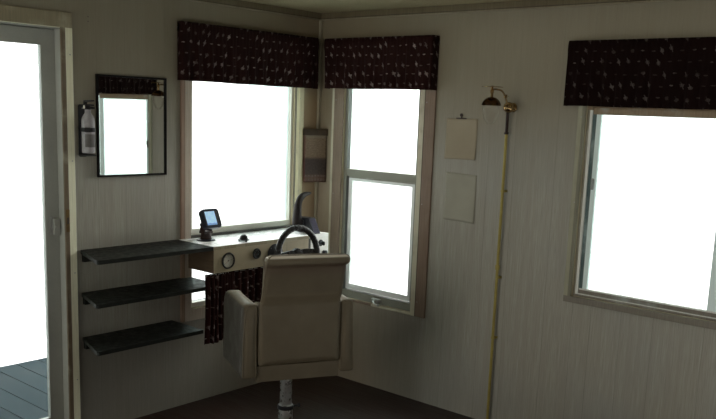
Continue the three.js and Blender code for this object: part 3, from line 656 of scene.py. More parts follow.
def aft_frame_paint():
    """White jambs between a beige-brown head, darkened as painted shade under the valance, and a dull sill.
    """
    zones = [
        (1, -1.8275, -1.800, (0.24, 0.225, 0.17)),
        # Painted shade: the head under the valance in beige-brown
        (2, FF + 1.735, FF + 1.80, (0.27, 0.20, 0.13)),
        (2, 0.0, FF + 0.815, (0.20, 0.18, 0.15)),
    ]
    return zoned_wood("aft_frame_paint", zones, (0.72, 0.74, 0.70), (0.84, 0.86, 0.82))


def aft_sash_paint():
    """A pale sash with a dark groove at its forward edge, a beige-brown head darkened as painted shade under
    the valance, and a dull bottom rail.
    """
    zones = [
        (1, -1.861, -1.841, (0.085, 0.125, 0.125)),
        # Painted shade: the head under the valance in beige-brown
        (2, FF + 1.715, FF + 1.77, (0.27, 0.20, 0.13)),
        (2, 0.0, FF + 0.845, (0.20, 0.18, 0.15)),
        (2, FF + 0.838, FF + 0.846, (0.70, 0.72, 0.68)),
    ]
    return zoned_wood("aft_sash_paint", zones, (0.76, 0.93, 0.92), (0.84, 0.97, 0.96), "aft_sash")


def side_sash_paint():
    """White, with an olive edge under the middle rail."""
    edge = (2, FF + 1.279, FF + 1.30, (0.24, 0.23, 0.185))
    return zoned_wood("side_sash_paint", [edge], (0.80, 0.83, 0.82), (0.88, 0.91, 0.90), "side_sash")


def room_trim_paint():
    """Dull crown along the ceiling with a thin pale lower edge, and a lighter strip in the corner."""
    zones = [
        (2, 0.0, FF + 2.2275, (0.34, 0.305, 0.225)),
        (2, FF + 2.2280, FF + 2.2330, (0.26, 0.225, 0.155)),
        (2, FF + 2.2340, FF + 2.2385, (0.07, 0.055, 0.035)),
    ]
    return zoned_wood("room_trim_wood", zones, (0.115, 0.092, 0.054), (0.165, 0.135, 0.082))


COTTON = printed_cotton("printed_cotton", 1.0)
# The cotton darkened as painted shade, for the aft valance
SHADED_COTTON = printed_cotton("printed_cotton_painted_shade", 0.4)
VINYL_TONE = (0.134, 0.109, 0.072)
VINYL = upholstery("seat_vinyl_grain", VINYL_TONE)
BACK_VINYL = upholstery("back_vinyl_grain", VINYL_TONE, zones=back_painted_light)
ARM_VINYL = upholstery("arm_vinyl_grain", VINYL_TONE, zones=arm_painted_light)
PIPING = upholstery("piping_vinyl", (0.142, 0.116, 0.077), 0.06)
PAPER = blank_paper()
CALENDAR = calendar_print()
CREAM_DIAL = dial("cream_dial", (0.60, 0.58, 0.50), (0.45, 0.42, 0.33))
BLACK_DIAL = dial("black_dial", (0.02, 0.02, 0.022), (0.05, 0.05, 0.05))
MARKS = plain_wear("dial_marks", (0.05, 0.045, 0.04), 0.5, 60.0, 0.1)
PALE_MARKS = plain_wear("pale_dial_marks", (0.55, 0.55, 0.50), 0.5, 60.0, 0.1)
NEEDLE = plain_wear("needle_paint", (0.45, 0.06, 0.03), 0.4, 60.0, 0.1)
STEEL = plain_wear("dull_steel", (0.42, 0.42, 0.41), 0.34, 24.0, 0.18, Metallic=1.0)
DARK_PLASTIC = plain_wear("dark_moulding", (0.016, 0.017, 0.021), 0.4, 26.0, 0.22, 0.0002)
BLUE_BLACK = plain_wear("blue_black_case", (0.010, 0.014, 0.026), 0.33, 24.0, 0.22, 0.0002)
RUST_BROWN = plain_wear("brown_bracket", (0.024, 0.0105, 0.0085), 0.5, 34.0, 0.3, 0.0003)
DARK_WOOD = plain_wear("dark_rod_wood", (0.055, 0.036, 0.020), 0.45, 30.0, 0.3, 0.0003)
LENS = pane("instrument_lens", (0.10, 0.11, 0.11), 0.0, 0.3)
GLOBE_GLASS = pane("globe_glass", (0.42, 0.40, 0.33), 0.0, 0.12)

# Finishes by the record's slots. The solids in print_cloth, paper and vinyl are replaced further down.
FINISH = {
    "timber": framing_timber(),
    "floor": planks(
        "cabin_floor_boards", 0.152, (0.012, 0.0045, 0.003), (0.027, 0.0102, 0.0066), 0.46,
        (0.003, 0.0015, 0.0015), (0.033, 0.018, 0.013),
    ),
    # The deck's grey-blue paint, made much darker as painted shade
    "deck": planks(
        "deck_paint", 0.148, (0.0075, 0.0150, 0.0185), (0.0115, 0.0225, 0.0270), 0.85,
        (0.005, 0.007, 0.008), (0.040, 0.046, 0.046), grain_scale=40, shine=0.12,
    ),
    "walls": panelling(),
    "ceiling": ceiling_board(),
    "roof": plain_wear("roof_metal", (0.34, 0.34, 0.325), 0.45, 3.0, 0.08, 0.0004),
    "door_frame": plain_wear("door_metal", (0.36, 0.37, 0.335), 0.4, 5.0, 0.1, 0.0002),
    "glass": pane("window_glass", (0.80, 0.88, 0.86)),
    "mirror_glass": silvered(),
    "black_frame": plain_wear(
        "black_lacquer", (0.006, 0.0055, 0.006), 0.5, 12.0, 0.25, Specular_IOR_Level=0.15
    ),
    "extinguisher": plain_wear("bottle_enamel", (0.32, 0.31, 0.32), 0.34, 26.0, 0.22),
    "bracket": plain_wear("bracket_plastic", (0.015, 0.015, 0.017), 0.5, 14.0, 0.25, 0.0002),
    "shelves": plain_wear(
        "shelf_paint", (0.010, 0.0115, 0.0095), 0.55, 7.0, 0.22, 0.0003, Specular_IOR_Level=0.3
    ),
    "console": helm_paint(),
    "console_top": speckled_top(),
    "instruments": plain_wear("instrument_plastic", (0.012, 0.012, 0.013), 0.38, 20.0, 0.2, 0.0001),
    "wheel": plain_wear("wheel_rubber", (0.015, 0.014, 0.015), 0.30, 18.0, 0.25, 0.0002),
    "controls": plain_wear(
        "control_plastic", (0.020, 0.015, 0.015), 0.5, 20.0, 0.25, 0.0002, Specular_IOR_Level=0.22
    ),
    "print_cloth": COTTON,
    "paper": PAPER,
    "vinyl": VINYL,
    "lamp_metal": plain_wear("polished_brass", (0.40, 0.27, 0.13), 0.08, 12.0, 0.15, Metallic=1.0),
    "shade": plain_wear("shade_metal", (0.12, 0.066, 0.034), 0.2, 12.0, 0.15, Metallic=1.0),
    "pipe": plain_wear("pipe_brass", (0.37, 0.30, 0.085), 0.42, 14.0, 0.2, Metallic=0.3),
    "crank": plain_wear("crank_metal", (0.50, 0.50, 0.49), 0.35, 20.0, 0.15, Metallic=0.9),
    "pedestal": plain_wear("pedestal_metal", (0.55, 0.56, 0.56), 0.3, 9.0, 0.12, Metallic=0.9),
}

OWN_FINISH = {
    "front_window_frame": frame_paint(
        "front_frame_paint", 1, (0.80, 0.79, 0.70), (0.022, 0.018, 0.012), 0.046, 0.080
    ),
    "side_window_frame": frame_paint(
        "side_frame_paint", 0, (0.235, 0.24, 0.205), (0.075, 0.082, 0.075), 0.0165, 0.046,
        (FF + 1.2885, FF + 1.335, (0.24, 0.235, 0.19)),
    ),
    "side_sash": side_sash_paint(),
    "side_window_casing": side_casing_paint(),
    "front_window_casing": front_casing_paint(),
    "door_casing": door_casing_paint(),
    "aft_window_casing": aft_casing_paint(),
    "aft_window_frame": aft_frame_paint(),
    "aft_sash": aft_sash_paint(),
    "room_trim": room_trim_paint(),
}

for part in frame["record"]["subparts"]:
    name = part["node"]
    data = frame["nodes"][name].data
    data.materials.clear()
    data.materials.append(OWN_FINISH.get(name) or FINISH[part["material_slot"]])


# Shapes


def turns(sides):
    return [2 * math.pi * i / sides for i in range(sides)]


def flowing(points, steps=8, loop=False):
    """A smooth path through the points."""
    points = [Vector(p) for p in points]
    count = len(points)
    path = []
    for i in range(count if loop else count - 1):
        if loop:
            a, b, c, d = (points[(i + k) % count] for k in (-1, 0, 1, 2))
        else:
            a, b, c, d = (points[min(max(i + k, 0), count - 1)] for k in (-1, 0, 1, 2))
        for step in range(steps):
            t = step / steps
            square = 2 * a - 5 * b + 4 * c - d
            cube = 3 * b - a - 3 * c + d
            path.append(0.5 * (2 * b + (c - a) * t + square * t * t + cube * t**3))
    if not loop:
        path.append(points[-1])
    return path


def tube_rings(path, radius, sides, loop, flat):
    path = [Vector(p) for p in path]
    count = len(path)
    radii = radius if isinstance(radius, (list, tuple)) else [radius] * count
    side = None
    rings = []
    for i, (point, r) in enumerate(zip(path, radii)):
        before = path[i - 1] if i or loop else point
        after = path[(i + 1) % count] if i + 1 < count or loop else point
        along = (after - before).normalized()
        side = side if side else along.orthogonal()
        side = (side - along * side.dot(along)).normalized()
        other = along.cross(side)
        rings.append([point + r * (math.cos(a) * side + flat * math.sin(a) * other) for a in turns(sides)])
    return rings


def round_ring(x0, x1, y0, y1, radius, steps=5, low_radius=None):
    """A rectangle with round corners, always of 4 * (steps + 1) points. low_radius is for those at y0."""
    most = min(abs(x1 - x0), abs(y1 - y0)) / 2
    high, low = min(radius, most), min(low_radius or radius, most)
    ring = []
    for quarter, (x, y, r) in enumerate(((x1, y1, high), (x0, y1, high), (x0, y0, low), (x1, y0, low))):
        cx = x - r if x == x1 else x + r
        cy = y - r if y == y1 else y + r
        for step in range(steps + 1):
            a = (quarter + step / steps) * math.pi / 2
            ring.append((cx + r * math.cos(a), cy + r * math.sin(a)))
    return ring


def mm(*points):
    """Points given in millimetres."""
    return [tuple(value / 1000 for value in point) for point in points]


def even(s, t):
    """The UVs that lay a picture once over a sheet."""
    return s, t


def arc(radius, first, step, count):
    """Points on a circle, from the angle first onwards in steps, both in degrees."""
    angles = [math.radians(first + step * i) for i in range(count)]
    return [(radius * math.cos(a), radius * math.sin(a)) for a in angles]


def around(at, radius, height, count, first):
    """Places for equal pieces on a circle about the axis of at, from the angle first in degrees."""
    circle = arc(radius, first, 360 / count, count)
    return [at @ Matrix.Translation((x, y, height)) for x, y in circle]


def standing(point, up=(0, 0, 1), turn=0.0):
    """Carries a shape's own Z to the direction up, with its origin at the point."""
    rotation = Vector(up).to_track_quat("Z", "Y").to_matrix().to_4x4()
    return Matrix.Translation(point) @ rotation @ Matrix.Rotation(turn, 4, "Z")


class Build:
    """Closed shapes gathered into one mesh. paint is the number of a shape's material."""

    def __init__(self):
        self.bm = bmesh.new()
        self.uv = self.bm.loops.layers.uv.new("UVMap")

    def skin(self, rings, paint=0, at=None, loop=False):
        """Joins rings, each of the same number of points or of one, into one closed skin."""
        made = [[self.bm.verts.new(at @ Vector(p) if at else Vector(p)) for p in ring] for ring in rings]
        count = max(len(ring) for ring in made)
        pairs = list(zip(made, made[1:]))
        if loop:
            pairs.append((made[-1], made[0]))
        for low, high in pairs:
            for i in range(count):
                j = i + 1
                corners = (low[i % len(low)], low[j % len(low)], high[j % len(high)], high[i % len(high)])
                self.bm.faces.new(list(dict.fromkeys(corners))).material_index = paint
        if not loop:
            for ring in (made[0][::-1], made[-1]):
                if len(ring) > 2:
                    self.bm.faces.new(ring).material_index = paint

    def lathe(self, profile, paint=0, at=None, sides=40, closed=False):
        rings = []
        for radius, height in profile:
            if radius:
                rings.append([(radius * math.cos(a), radius * math.sin(a), height) for a in turns(sides)])
            else:
                rings.append([(0, 0, height)])
        self.skin(rings, paint, at, loop=closed)

    def cylinder(self, radius, low, high, paint=0, at=None, sides=40):
        self.lathe([(0, low), (radius, low), (radius, high), (0, high)], paint, at, sides)

    def prism(self, outline, low, high, paint=0, at=None):
        self.skin([[(x, y, z) for x, y in outline] for z in (low, high)], paint, at)

    def block(self, low, high, paint=0, at=None):
        corners = [(low[0], low[1]), (high[0], low[1]), (high[0], high[1]), (low[0], high[1])]
        self.prism(corners, low[2], high[2], paint, at)

    def tube(self, path, radius, paint=0, at=None, sides=12, loop=False, flat=1.0):
        self.skin(tube_rings(path, radius, sides, loop, flat), paint, at, loop=loop)

    def ball(self, radius, paint, at, sides, low=-90):
        """A ball, cut off flat at the latitude low in degrees."""
        levels = 14
        angles = [math.radians(low + (90 - low) * i / levels) for i in range(levels)]
        profile = [(radius * math.cos(a), radius * math.sin(a)) for a in angles]
        if low == -90:
            profile[0] = (0, -radius)
        self.lathe(profile + [(0, radius)], paint, at, sides)

    def screw(self, point, out, size=0.0035, paint=0):
        """A low round screw head."""
        profile = [(size, 0), (size, 0.0006), (size * 0.75, 0.0014), (0, 0.0017)]
        self.lathe(profile, paint, standing(point, out), 12)

    def sheet(self, columns, rows, place, flat, paint=0):
        """An open sheet. place(s, t) is its point, flat(s, t) its UV, with s and t from 0 to 1."""
        grid = []
        for i in range(columns + 1):
            grid.append([self.bm.verts.new(place(i / columns, j / rows)) for j in range(rows + 1)])
        for i in range(columns):
            for j in range(rows):
                corners = ((i, j), (i + 1, j), (i + 1, j + 1), (i, j + 1))
                face = self.bm.faces.new([grid[a][b] for a, b in corners])
                face.material_index = paint
                for loop, (a, b) in zip(face.loops, corners):
                    loop[self.uv].uv = flat(a / columns, b / rows)

    def make(self, name, paints, slot, stands_for=(), body="cabin", soft=0.0, crease=38, closed=True):
        if closed:
            bmesh.ops.recalc_face_normals(self.bm, faces=self.bm.faces[:])
        mesh = bpy.data.meshes.new(name)
        self.bm.to_mesh(mesh)
        self.bm.free()
        for paint in paints:
            mesh.materials.append(paint)
        mesh.shade_smooth()
        mesh.set_sharp_from_angle(angle=math.radians(crease))
        piece = bpy.data.objects.new(name, mesh)
        bpy.context.scene.collection.objects.link(piece)
        if soft:
            soften(piece, soft)
        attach(piece, body)
        if stands_for:
            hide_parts(*stands_for)
        return piece


def soften(piece, width):
    bevel = piece.modifiers.new("soft_edges", "BEVEL")
    bevel.width = width
    bevel.segments = 2
    bevel.limit_method = "ANGLE"
    bevel.angle_limit = math.radians(38)
    bevel.harden_normals = True
    bevel.use_clamp_overlap = True


def settle(piece):
    """Puts the piece's modifiers into its mesh."""
    bpy.context.view_layer.update()
    graph = bpy.context.evaluated_depsgraph_get()
    old = piece.data
    piece.data = bpy.data.meshes.new_from_object(piece.evaluated_get(graph))
    piece.modifiers.clear()
    bpy.data.meshes.remove(old)


def puff(piece, voxel, pressure, most):
    """Swells a closed fabric shape with air. No point moves further than most."""
    remesh = piece.modifiers.new("even_mesh", "REMESH")
    remesh.mode = "VOXEL"
    remesh.voxel_size = voxel * 1
    remesh.use_smooth_shade = True
    settle(piece)
    start = [v.co.copy() for v in piece.data.vertices]
    cloth = piece.modifiers.new("air", "CLOTH")
    cloth.settings.quality = 5
    cloth.settings.mass = 0.3
    cloth.settings.tension_stiffness = 18
    cloth.settings.compression_stiffness = 18
    cloth.settings.shear_stiffness = 8
    cloth.settings.bending_stiffness = 1.5
    cloth.settings.use_pressure = True
    cloth.settings.uniform_pressure_force = pressure
    cloth.settings.effector_weights.gravity = 0
    cloth.collision_settings.use_collision = False
    scene = bpy.context.scene
    swelling_frames = 20
    for frame_number in range(1, swelling_frames + 1):
        scene.frame_set(frame_number)
    graph = bpy.context.evaluated_depsgraph_get()
    swollen = piece.evaluated_get(graph).to_mesh()
    ends = [v.co.copy() for v in swollen.vertices]
    piece.modifiers.clear()
    for vertex, a, b in zip(piece.data.vertices, start, ends):
        move = b - a
        vertex.co = a + move * min(1.0, most / max(move.length, 1e-9))
    scene.frame_set(1)
    calm = piece.modifiers.new("calm", "SMOOTH")
    calm.factor = 0.5
    calm.iterations = 6
    settle(piece)


def hugging(piece, points, proud):
    """The points brought onto the piece's surface and raised by proud."""
    tree = BVHTree.FromObject(piece, bpy.context.evaluated_depsgraph_get())
    path = []
    for point in points:
        place, normal = tree.find_nearest(Vector(point))[:2]
        path.append(place + normal * proud)
    return path


def wall_point(wall, along, off, height):
    """A point by its distance along a wall, how far it stands off the inside face, and its height."""
    return Vector((along, -off, FF + height)) if wall == "front" else Vector((-off, along, FF + height))


def lerp(x, *stops):
    """The value at x on straight lines through the stops, held at both ends."""
    for (x0, y0), (x1, y1) in zip(stops, stops[1:]):
        if x <= x1:
            return y0 + (y1 - y0) * min(1.0, max(0.0, (x - x0) / (x1 - x0)))
    return stops[-1][1]


def path_sampler(points):
    """A function that gives the point at a share of a flat path's length, and that length."""
    points = [Vector((*point, 0)) for point in points]
    lengths = [0.0]
    for a, b in zip(points, points[1:]):
        lengths.append(lengths[-1] + (b - a).length)

    def at(share):
        target = share * lengths[-1]
        i = min(bisect.bisect_right(lengths, target), len(points) - 1)
        step = lengths[i] - lengths[i - 1]
        return points[i - 1].lerp(points[i], (target - lengths[i - 1]) / step).xy

    return at, lengths[-1]


def ripple(distance, pitch, seed):
    """Folds of uneven width, from -1 to 1."""
    drift = noise.noise((distance * 9, seed, 0)) * 2.2
    return math.sin(2 * math.pi * distance / pitch + drift)


def thicken(piece, thickness):
    solid = piece.modifiers.new("cloth_thickness", "SOLIDIFY")
    solid.thickness = thickness
    solid.offset = 0


def valance(name, wall, near, far, bottom, top, seed, rod_off=0.041, cloth=None):
    """A short gathered curtain on a flat rod, with a ruffle above the rod's pocket."""
    rod_height = top - 0.036
    turn_in = 0.004
    bend = rod_off - 0.005
    rail = (
        (near - 0.001, 0.003), (near - 0.001, bend), (near - turn_in, rod_off),
        (far + turn_in, rod_off), (far + 0.001, bend), (far + 0.001, 0.003),
    )
    along_rail, width = path_sampler(rail)
    # Distance in front of the rod and height, from the pocket's back over the ruffle to the hem
    drop = (
        (-0.007, rod_height - 0.016), (-0.008, rod_height + 0.012), (-0.003, top - 0.004),
        (0.002, top - 0.003), (0.007, rod_height + 0.013), (0.008, rod_height - 0.010),
        (0.004, rod_height - 0.040), (0.004, bottom + 0.001),
    )
    along_drop, length = path_sampler(drop)
    fullness = 1.3
    # The folds open over a height below the rod and flatten over a width at each end
    opening, ending = 0.22, 0.05

    def place(s, t):
        a, off = along_rail(s)
        ahead, height = along_drop(t)
        below = min(1.0, max(0.0, (rod_height - height) / opening))
        distance = s * width
        edge = min(1.0, min(s, 1 - s) * width / ending)
        tight = 0.0022 * ripple(distance, 0.024, seed)
        loose = 0.0085 * ripple(distance, 0.078, seed + 5) + 0.003 * ripple(distance, 0.033, seed + 9)
        off += ahead * min(1, off / 0.02) + edge * (tight * (1 - below) + loose * below)
        sag = 0.004 * below * noise.noise((distance * 4, seed + 2, 0))
        return wall_point(wall, a, max(0.0025, off), height + sag)

    build = Build()
    build.sheet(int(width / 0.0065), 34, place, lambda s, t: (s * width * fullness, 3 + t * length))
    piece = build.make(name + "_cloth", [cloth or COTTON], "print_cloth", [name], closed=False, crease=180)
    thicken(piece, 0.0012)
    rod = Build()
    bends = (
        (near - 0.006, 0.002), (near - 0.006, bend - 0.004), (near - 0.011, rod_off),
        (far + 0.011, rod_off), (far + 0.006, bend - 0.004), (far + 0.006, 0.002),
    )
    rod.tube([wall_point(wall, a, off, rod_height) for a, off in bends], 0.0045, sides=10)
    for a in (near - 0.006, far + 0.006):
        foot = standing(wall_point(wall, a, 0.0004, rod_height), INTO_CABIN[wall])
        rod.lathe([(0, 0), (0.009, 0), (0.009, 0.0015), (0.0045, 0.003), (0, 0.003)], 0, foot, 16)
    rod.make(name + "_rod", [STEEL], "crank")


def skirt_curtain():
    """Cloth gathered on a wire under the console, pulled together at its port end."""
    port, starboard = -1.133, -0.228
    top = 0.8125
    middle = -0.296
    width = starboard - port
    fullness = 1.5

    def hem(x):
        return lerp(x, (-1.02, 0.432), (-0.95, 0.50), (-0.88, 0.560), (-0.80, 0.610))

    def place(s, t):
        x = port + s * width
        loose = min(1.0, t / 0.25)
        bundle = lerp(x, (-1.02, 1.0), (-0.94, 0.0))
        deep = 0.0088 * ripple(s * width, 0.050 - 0.018 * bundle, 3)
        fine = 0.0022 * ripple(s * width, 0.017, 7)
        y = middle + deep * (0.35 + 0.65 * loose) + fine
        drop = top - hem(x) - 0.004 * ripple(s * width, 0.09, 11)
        squeeze = 0.006 * bundle * math.sin(math.pi * t) * (1 if x < -1.07 else -1)
        return Vector((x + squeeze, max(-0.3065, min(-0.2855, y)), FF + top - t * drop))

    build = Build()
    build.sheet(190, 36, place, lambda s, t: (s * width * fullness, 6 + t * 0.38))
    piece = build.make("skirt_curtain_cloth", [COTTON], "print_cloth", ["skirt_curtain"], closed=False,
                       crease=180)
    thicken(piece, 0.0012)
    tallest = top - hem(port)
    shortest = top - hem(starboard)
    wire = Build()
    height = FF + top - 0.006
    wire.tube([(port + 0.002, middle, height), (starboard - 0.002, middle, height)], 0.0022, sides=8)
    for x in (port + 0.004, -0.80, -0.52, starboard - 0.004):
        wire.cylinder(0.004, 0, 0.006, 0, Matrix.Translation((x, middle, FF + 0.8085)), 12)
    wire.make("skirt_curtain_wire", [STEEL], "crank")


def hanging_calendar():
    """A sheet with a rod along its head, hung across the corner."""
    start = Vector((-0.150, -0.0181, FF + 1.405))
    end = Vector((-0.0029, -0.086, FF + 1.405))
    across = (end - start).normalized()
    out = Vector((across.y, -across.x, 0))
    centre = (start + end) / 2
    half = (end - start).length / 2
    frame_of = Matrix((across, out, Vector((0, 0, 1)))).transposed().to_4x4()
    at = Matrix.Translation(centre) @ frame_of
    high, low = 0.128, -0.165
    wide = half - 0.006
    sheet = Build()

    def place(s, t):
        curl = 0.006 * t * t + 0.0015 * math.sin(9 * t + 3 * s)
        return at @ Vector((-wide + 2 * wide * s, curl, high + (low - high) * t))

    sheet.sheet(16, 28, place, lambda s, t: (s, 1 - t))
    page = sheet.make("calendar_page", [CALENDAR], "paper", ["hanging_calendar"], closed=False, crease=180)
    thicken(page, 0.0012)
    bar = Build()
    ring = round_ring(-0.0055, 0.0055, 0.124, 0.165, 0.004, 3)
    bar.skin([[(x, y, z) for y, z in ring] for x in (-half + 0.0004, half - 0.0004)], 0, at)
    bar.make("calendar_bar", [DARK_WOOD], "paper", soft=0.0015)


def pinned_sheet(near, far, low, high, lean):
    """Places a sheet on the side wall, curling off towards its foot. lean is how far it hangs askew."""

    def place(s, t):
        lift = 0.0012 + 0.006 * t**3 * (0.3 + 0.7 * abs(2 * s - 1)) + 0.0006 * math.sin(7 * s)
        height = high + (low - high) * t + lean * (s - 0.5)
        return wall_point("side", near + (far - near) * s, lift, height)

    return place


def wall_papers():
    """Two blank sheets on the side wall, with the clip above them."""
    sheets = Build()
    sheets.sheet(16, 20, pinned_sheet(-0.985, -1.190, 1.447, 1.668, 0.004), even)
    sheets.sheet(16, 20, pinned_sheet(-0.999, -1.205, 1.105, 1.370, -0.005), even)
    papers = sheets.make("wall_papers", [PAPER], "paper", closed=False, crease=180)
    thicken(papers, 0.0008)
    clip = Build()
    at = standing(wall_point("side", -1.084, 0.0005, 1.680), (-1, 0, 0), math.pi / 2)
    clip.prism(round_ring(-0.014, -0.008, -0.034, 0.034, 0.003, 3), 0.0018, 0.0042, 0, at)
    clip.prism(round_ring(-0.010, 0.002, -0.004, 0.004, 0.002, 3), 0.0018, 0.0036, 0, at)
    clip.lathe(mm((0, 0.5), (8.5, 0.5), (9.5, 3), (8.5, 7), (0, 9)), 0,
               at @ Matrix.Translation((0.007, 0, 0)), 16)
    clip.make("paper_clip", [RUST_BROWN], "crank", soft=0.0005)


def steering_wheel():
    """A thick rim with finger grips on three spokes, its shaft, and the boss around the shaft."""
    rake = 5
    centre = Matrix.Translation((-0.646, -0.493, FF + 0.893))
    at = centre @ Matrix.Rotation(math.radians(90 - rake), 4, "X")
    reach = 0.1837
    rim, thick, grips, grip_depth = 0.1525, 0.0172, 36, 0.0011
    build = Build()
    around_rim = turns(8 * grips)
    path = [(rim * math.cos(a), rim * math.sin(a), 0) for a in around_rim]
    radii = [thick - grip_depth * (0.5 + 0.5 * math.cos(grips * a)) ** 3 for a in around_rim]
    build.tube(path, radii, 0, at, sides=16, loop=True)
    hub = mm((0, -24), (36, -24), (40, -19), (40, -2), (38, 3), (34, 6), (32, 4.8), (29, 4.8), (27, 6.7),
             (14, 7.8), (0, 8))
    build.lathe(hub, 0, at)
    half = mm((20, 31), (70, 31), (110, 27), (132, 24), (148, 27))
    outline = [(x, -y) for x, y in half] + [(x, y) for x, y in half[::-1]]
    for angle in (0, 180, 270):
        build.prism(outline, -0.0115, 0.0035, 0, at @ Matrix.Rotation(math.radians(angle), 4, "Z"))
    build.lathe([(0, 0.006 - reach), (0.0095, 0.006 - reach), (0.0095, -0.03), (0.014, -0.024), (0, -0.024)],
                1, at, 24)
    build.make("steering_wheel_dressed", [FINISH["wheel"], STEEL], "wheel", ["steering_wheel"], "helm_wheel",
               0.003)
    boss = Build()
    stepped = mm((57.5, -178.5), (54, -175.5), (42, -174.5), (38, -171.5), (32, -166.5), (23.5, -160.5),
                 (10.8, -159.8))
    boss.lathe([(0.0108, -reach), (0.0575, -reach)] + stepped, 0, at, 48, closed=True)
    for head in around(at, 0.0485, -0.1752, 4, 45):
        boss.lathe(mm((2.8, 0), (2.8, 1.2), (0, 1.8)), 1, head, 10)
    boss.make("helm_bezel_dressed", [DARK_PLASTIC, STEEL], "controls", ["helm_bezel"], soft=0.0008)


def gauge(name, x, height, radius, can, face, marks, sweep, ticks):
    """A round dial with its can behind the fascia. can is the can's radius, sweep the scale's angle."""
    at = standing((x, FRONT_FACE - GAP, FF + height), (0, -1, 0))
    build = Build()
    # The ring's section, by its distance in from the rim and its height
    section = mm((10, -0.5), (1, 0), (0, 2), (0.8, 5.5), (3.5, 8.8), (6.5, 8.8), (9.5, 5.5), (10, 1.5))
    build.lathe([(radius - inset, height) for inset, height in section], 0, at, 48, closed=True)
    inner = radius - 0.0095
    build.cylinder(inner, 0.0006, 0.0018, 1, at, 48)
    for i in range(ticks):
        a = math.radians(90 - sweep / 2 + sweep * i / (ticks - 1))
        long = i % 5 == 0
        spoke = at @ Matrix.Rotation(a, 4, "Z")
        build.block((inner * (0.74 if long else 0.84), -0.0005, 0.0018), (inner * 0.93, 0.0005, 0.0022), 2,
                    spoke)
        if long:
            build.block((inner * 0.60, -0.0011, 0.0018), (inner * 0.68, 0.0011, 0.0021), 2, spoke)
    needle = at @ Matrix.Rotation(math.radians(215), 4, "Z")
    build.prism([(-0.007, -0.0009), (inner * 0.78, -0.0003), (inner * 0.78, 0.0003), (-0.007, 0.0009)],
                0.0028, 0.0034, 3, needle)
    build.lathe(mm((0, 1.8), (3.5, 1.8), (3.5, 3.8), (0, 4.4)), 0, at, 16)
    build.lathe([(0, -0.062), (can - 0.004, -0.062), (can, -0.058), (can, -0.002), (0, -0.002)], 0, at, 36)
    for side in (-1, 1):
        terminal = at @ Matrix.Translation((side * can * 0.45, 0, 0))
        build.cylinder(0.0022, -0.0690, -0.0615, 4, terminal, 10)
    build.make(name + "_dressed", [FINISH["instruments"], face, marks, NEEDLE, STEEL], "instruments", [name],
               soft=0.0003)
    lens = Build()
    lens.lathe([(0, 0.0056), (inner, 0.0050), (inner, 0.0058), (0, 0.0066)], 0, at, 40)
    lens.make(name + "_lens", [LENS], "glass")


BOX_PORT, BOX_STARBOARD = -0.328, -0.273
BOX_FRONT, BOX_BACK, BOX_HIGH = -0.305, -0.140, 0.092


def throttle():
    """The lever and the boss that it turns on, at the port side of the control box."""
    y, z = -0.195, TOP_OF_CONSOLE
    build = Build()
    boss = standing((BOX_PORT - GAP, y, z + 0.047), (-1, 0, 0))
    build.lathe(mm((0, 0), (36, 0), (36.8, 4), (36.8, 10), (34.5, 13.5), (30, 15), (0, 15)), 0, boss, 40)
    build.lathe(mm((0, 14.5), (29, 14.5), (29, 21), (25, 29), (17, 33.5), (0, 34.5)), 1, boss, 36)
    x = BOX_PORT - 0.035
    route = flowing(
        [(x, y, z + 0.036), (x, y, z + 0.075), (x + 0.003, y, z + 0.125), (x + 0.008, y, z + 0.170),
         (x + 0.026, y, z + 0.205), (x + 0.060, y, z + 0.2245), (x + 0.112, y, z + 0.2310)], 8
    )
    shares = [i / (len(route) - 1) for i in range(len(route))]
    thick = ((0, 0.0350), (0.2, 0.0320), (0.35, 0.0275), (0.5, 0.0250), (0.72, 0.0225), (0.86, 0.0165),
             (1, 0.0070))
    build.tube(route, [lerp(share, *thick) for share in shares], 1, sides=18, flat=0.85)
    build.make("throttle_dressed", [DARK_PLASTIC, FINISH["controls"]], "controls", ["throttle_lever"],
               soft=0.0012)


def control_box():
    """A tall binnacle whose steep face carries the keys."""
    z = TOP_OF_CONSOLE
    low_front, high_front = (BOX_FRONT, z), (BOX_FRONT + 0.050, z + BOX_HIGH)
    profile = [low_front, (BOX_BACK, z), (BOX_BACK, z + BOX_HIGH - 0.004), high_front]
    build = Build()
    build.skin([[(x, a, b) for a, b in profile] for x in (BOX_PORT, BOX_STARBOARD)])
    low = Vector((BOX_PORT, *low_front))
    up = Vector((BOX_PORT, *high_front)) - low
    out = Vector((0, -up.z, up.y)).normalized() * 0.0012
    margin = 0.004
    wide = BOX_STARBOARD - BOX_PORT

    def place(s, t):
        return low + Vector((margin + (wide - 2 * margin) * s, 0, 0)) + up * (0.05 + 0.90 * t) + out

    build.sheet(2, 2, place, even, 1)
    for k in (0.12, 0.88):
        build.screw(low + Vector((wide * k, 0, 0)) + up * 0.025, out, 0.0020, 2)
    box = build.make("control_box_dressed", [DARK_PLASTIC, keypad(), STEEL], "controls", ["control_box"],
                     closed=False)
    soften(box, 0.004)


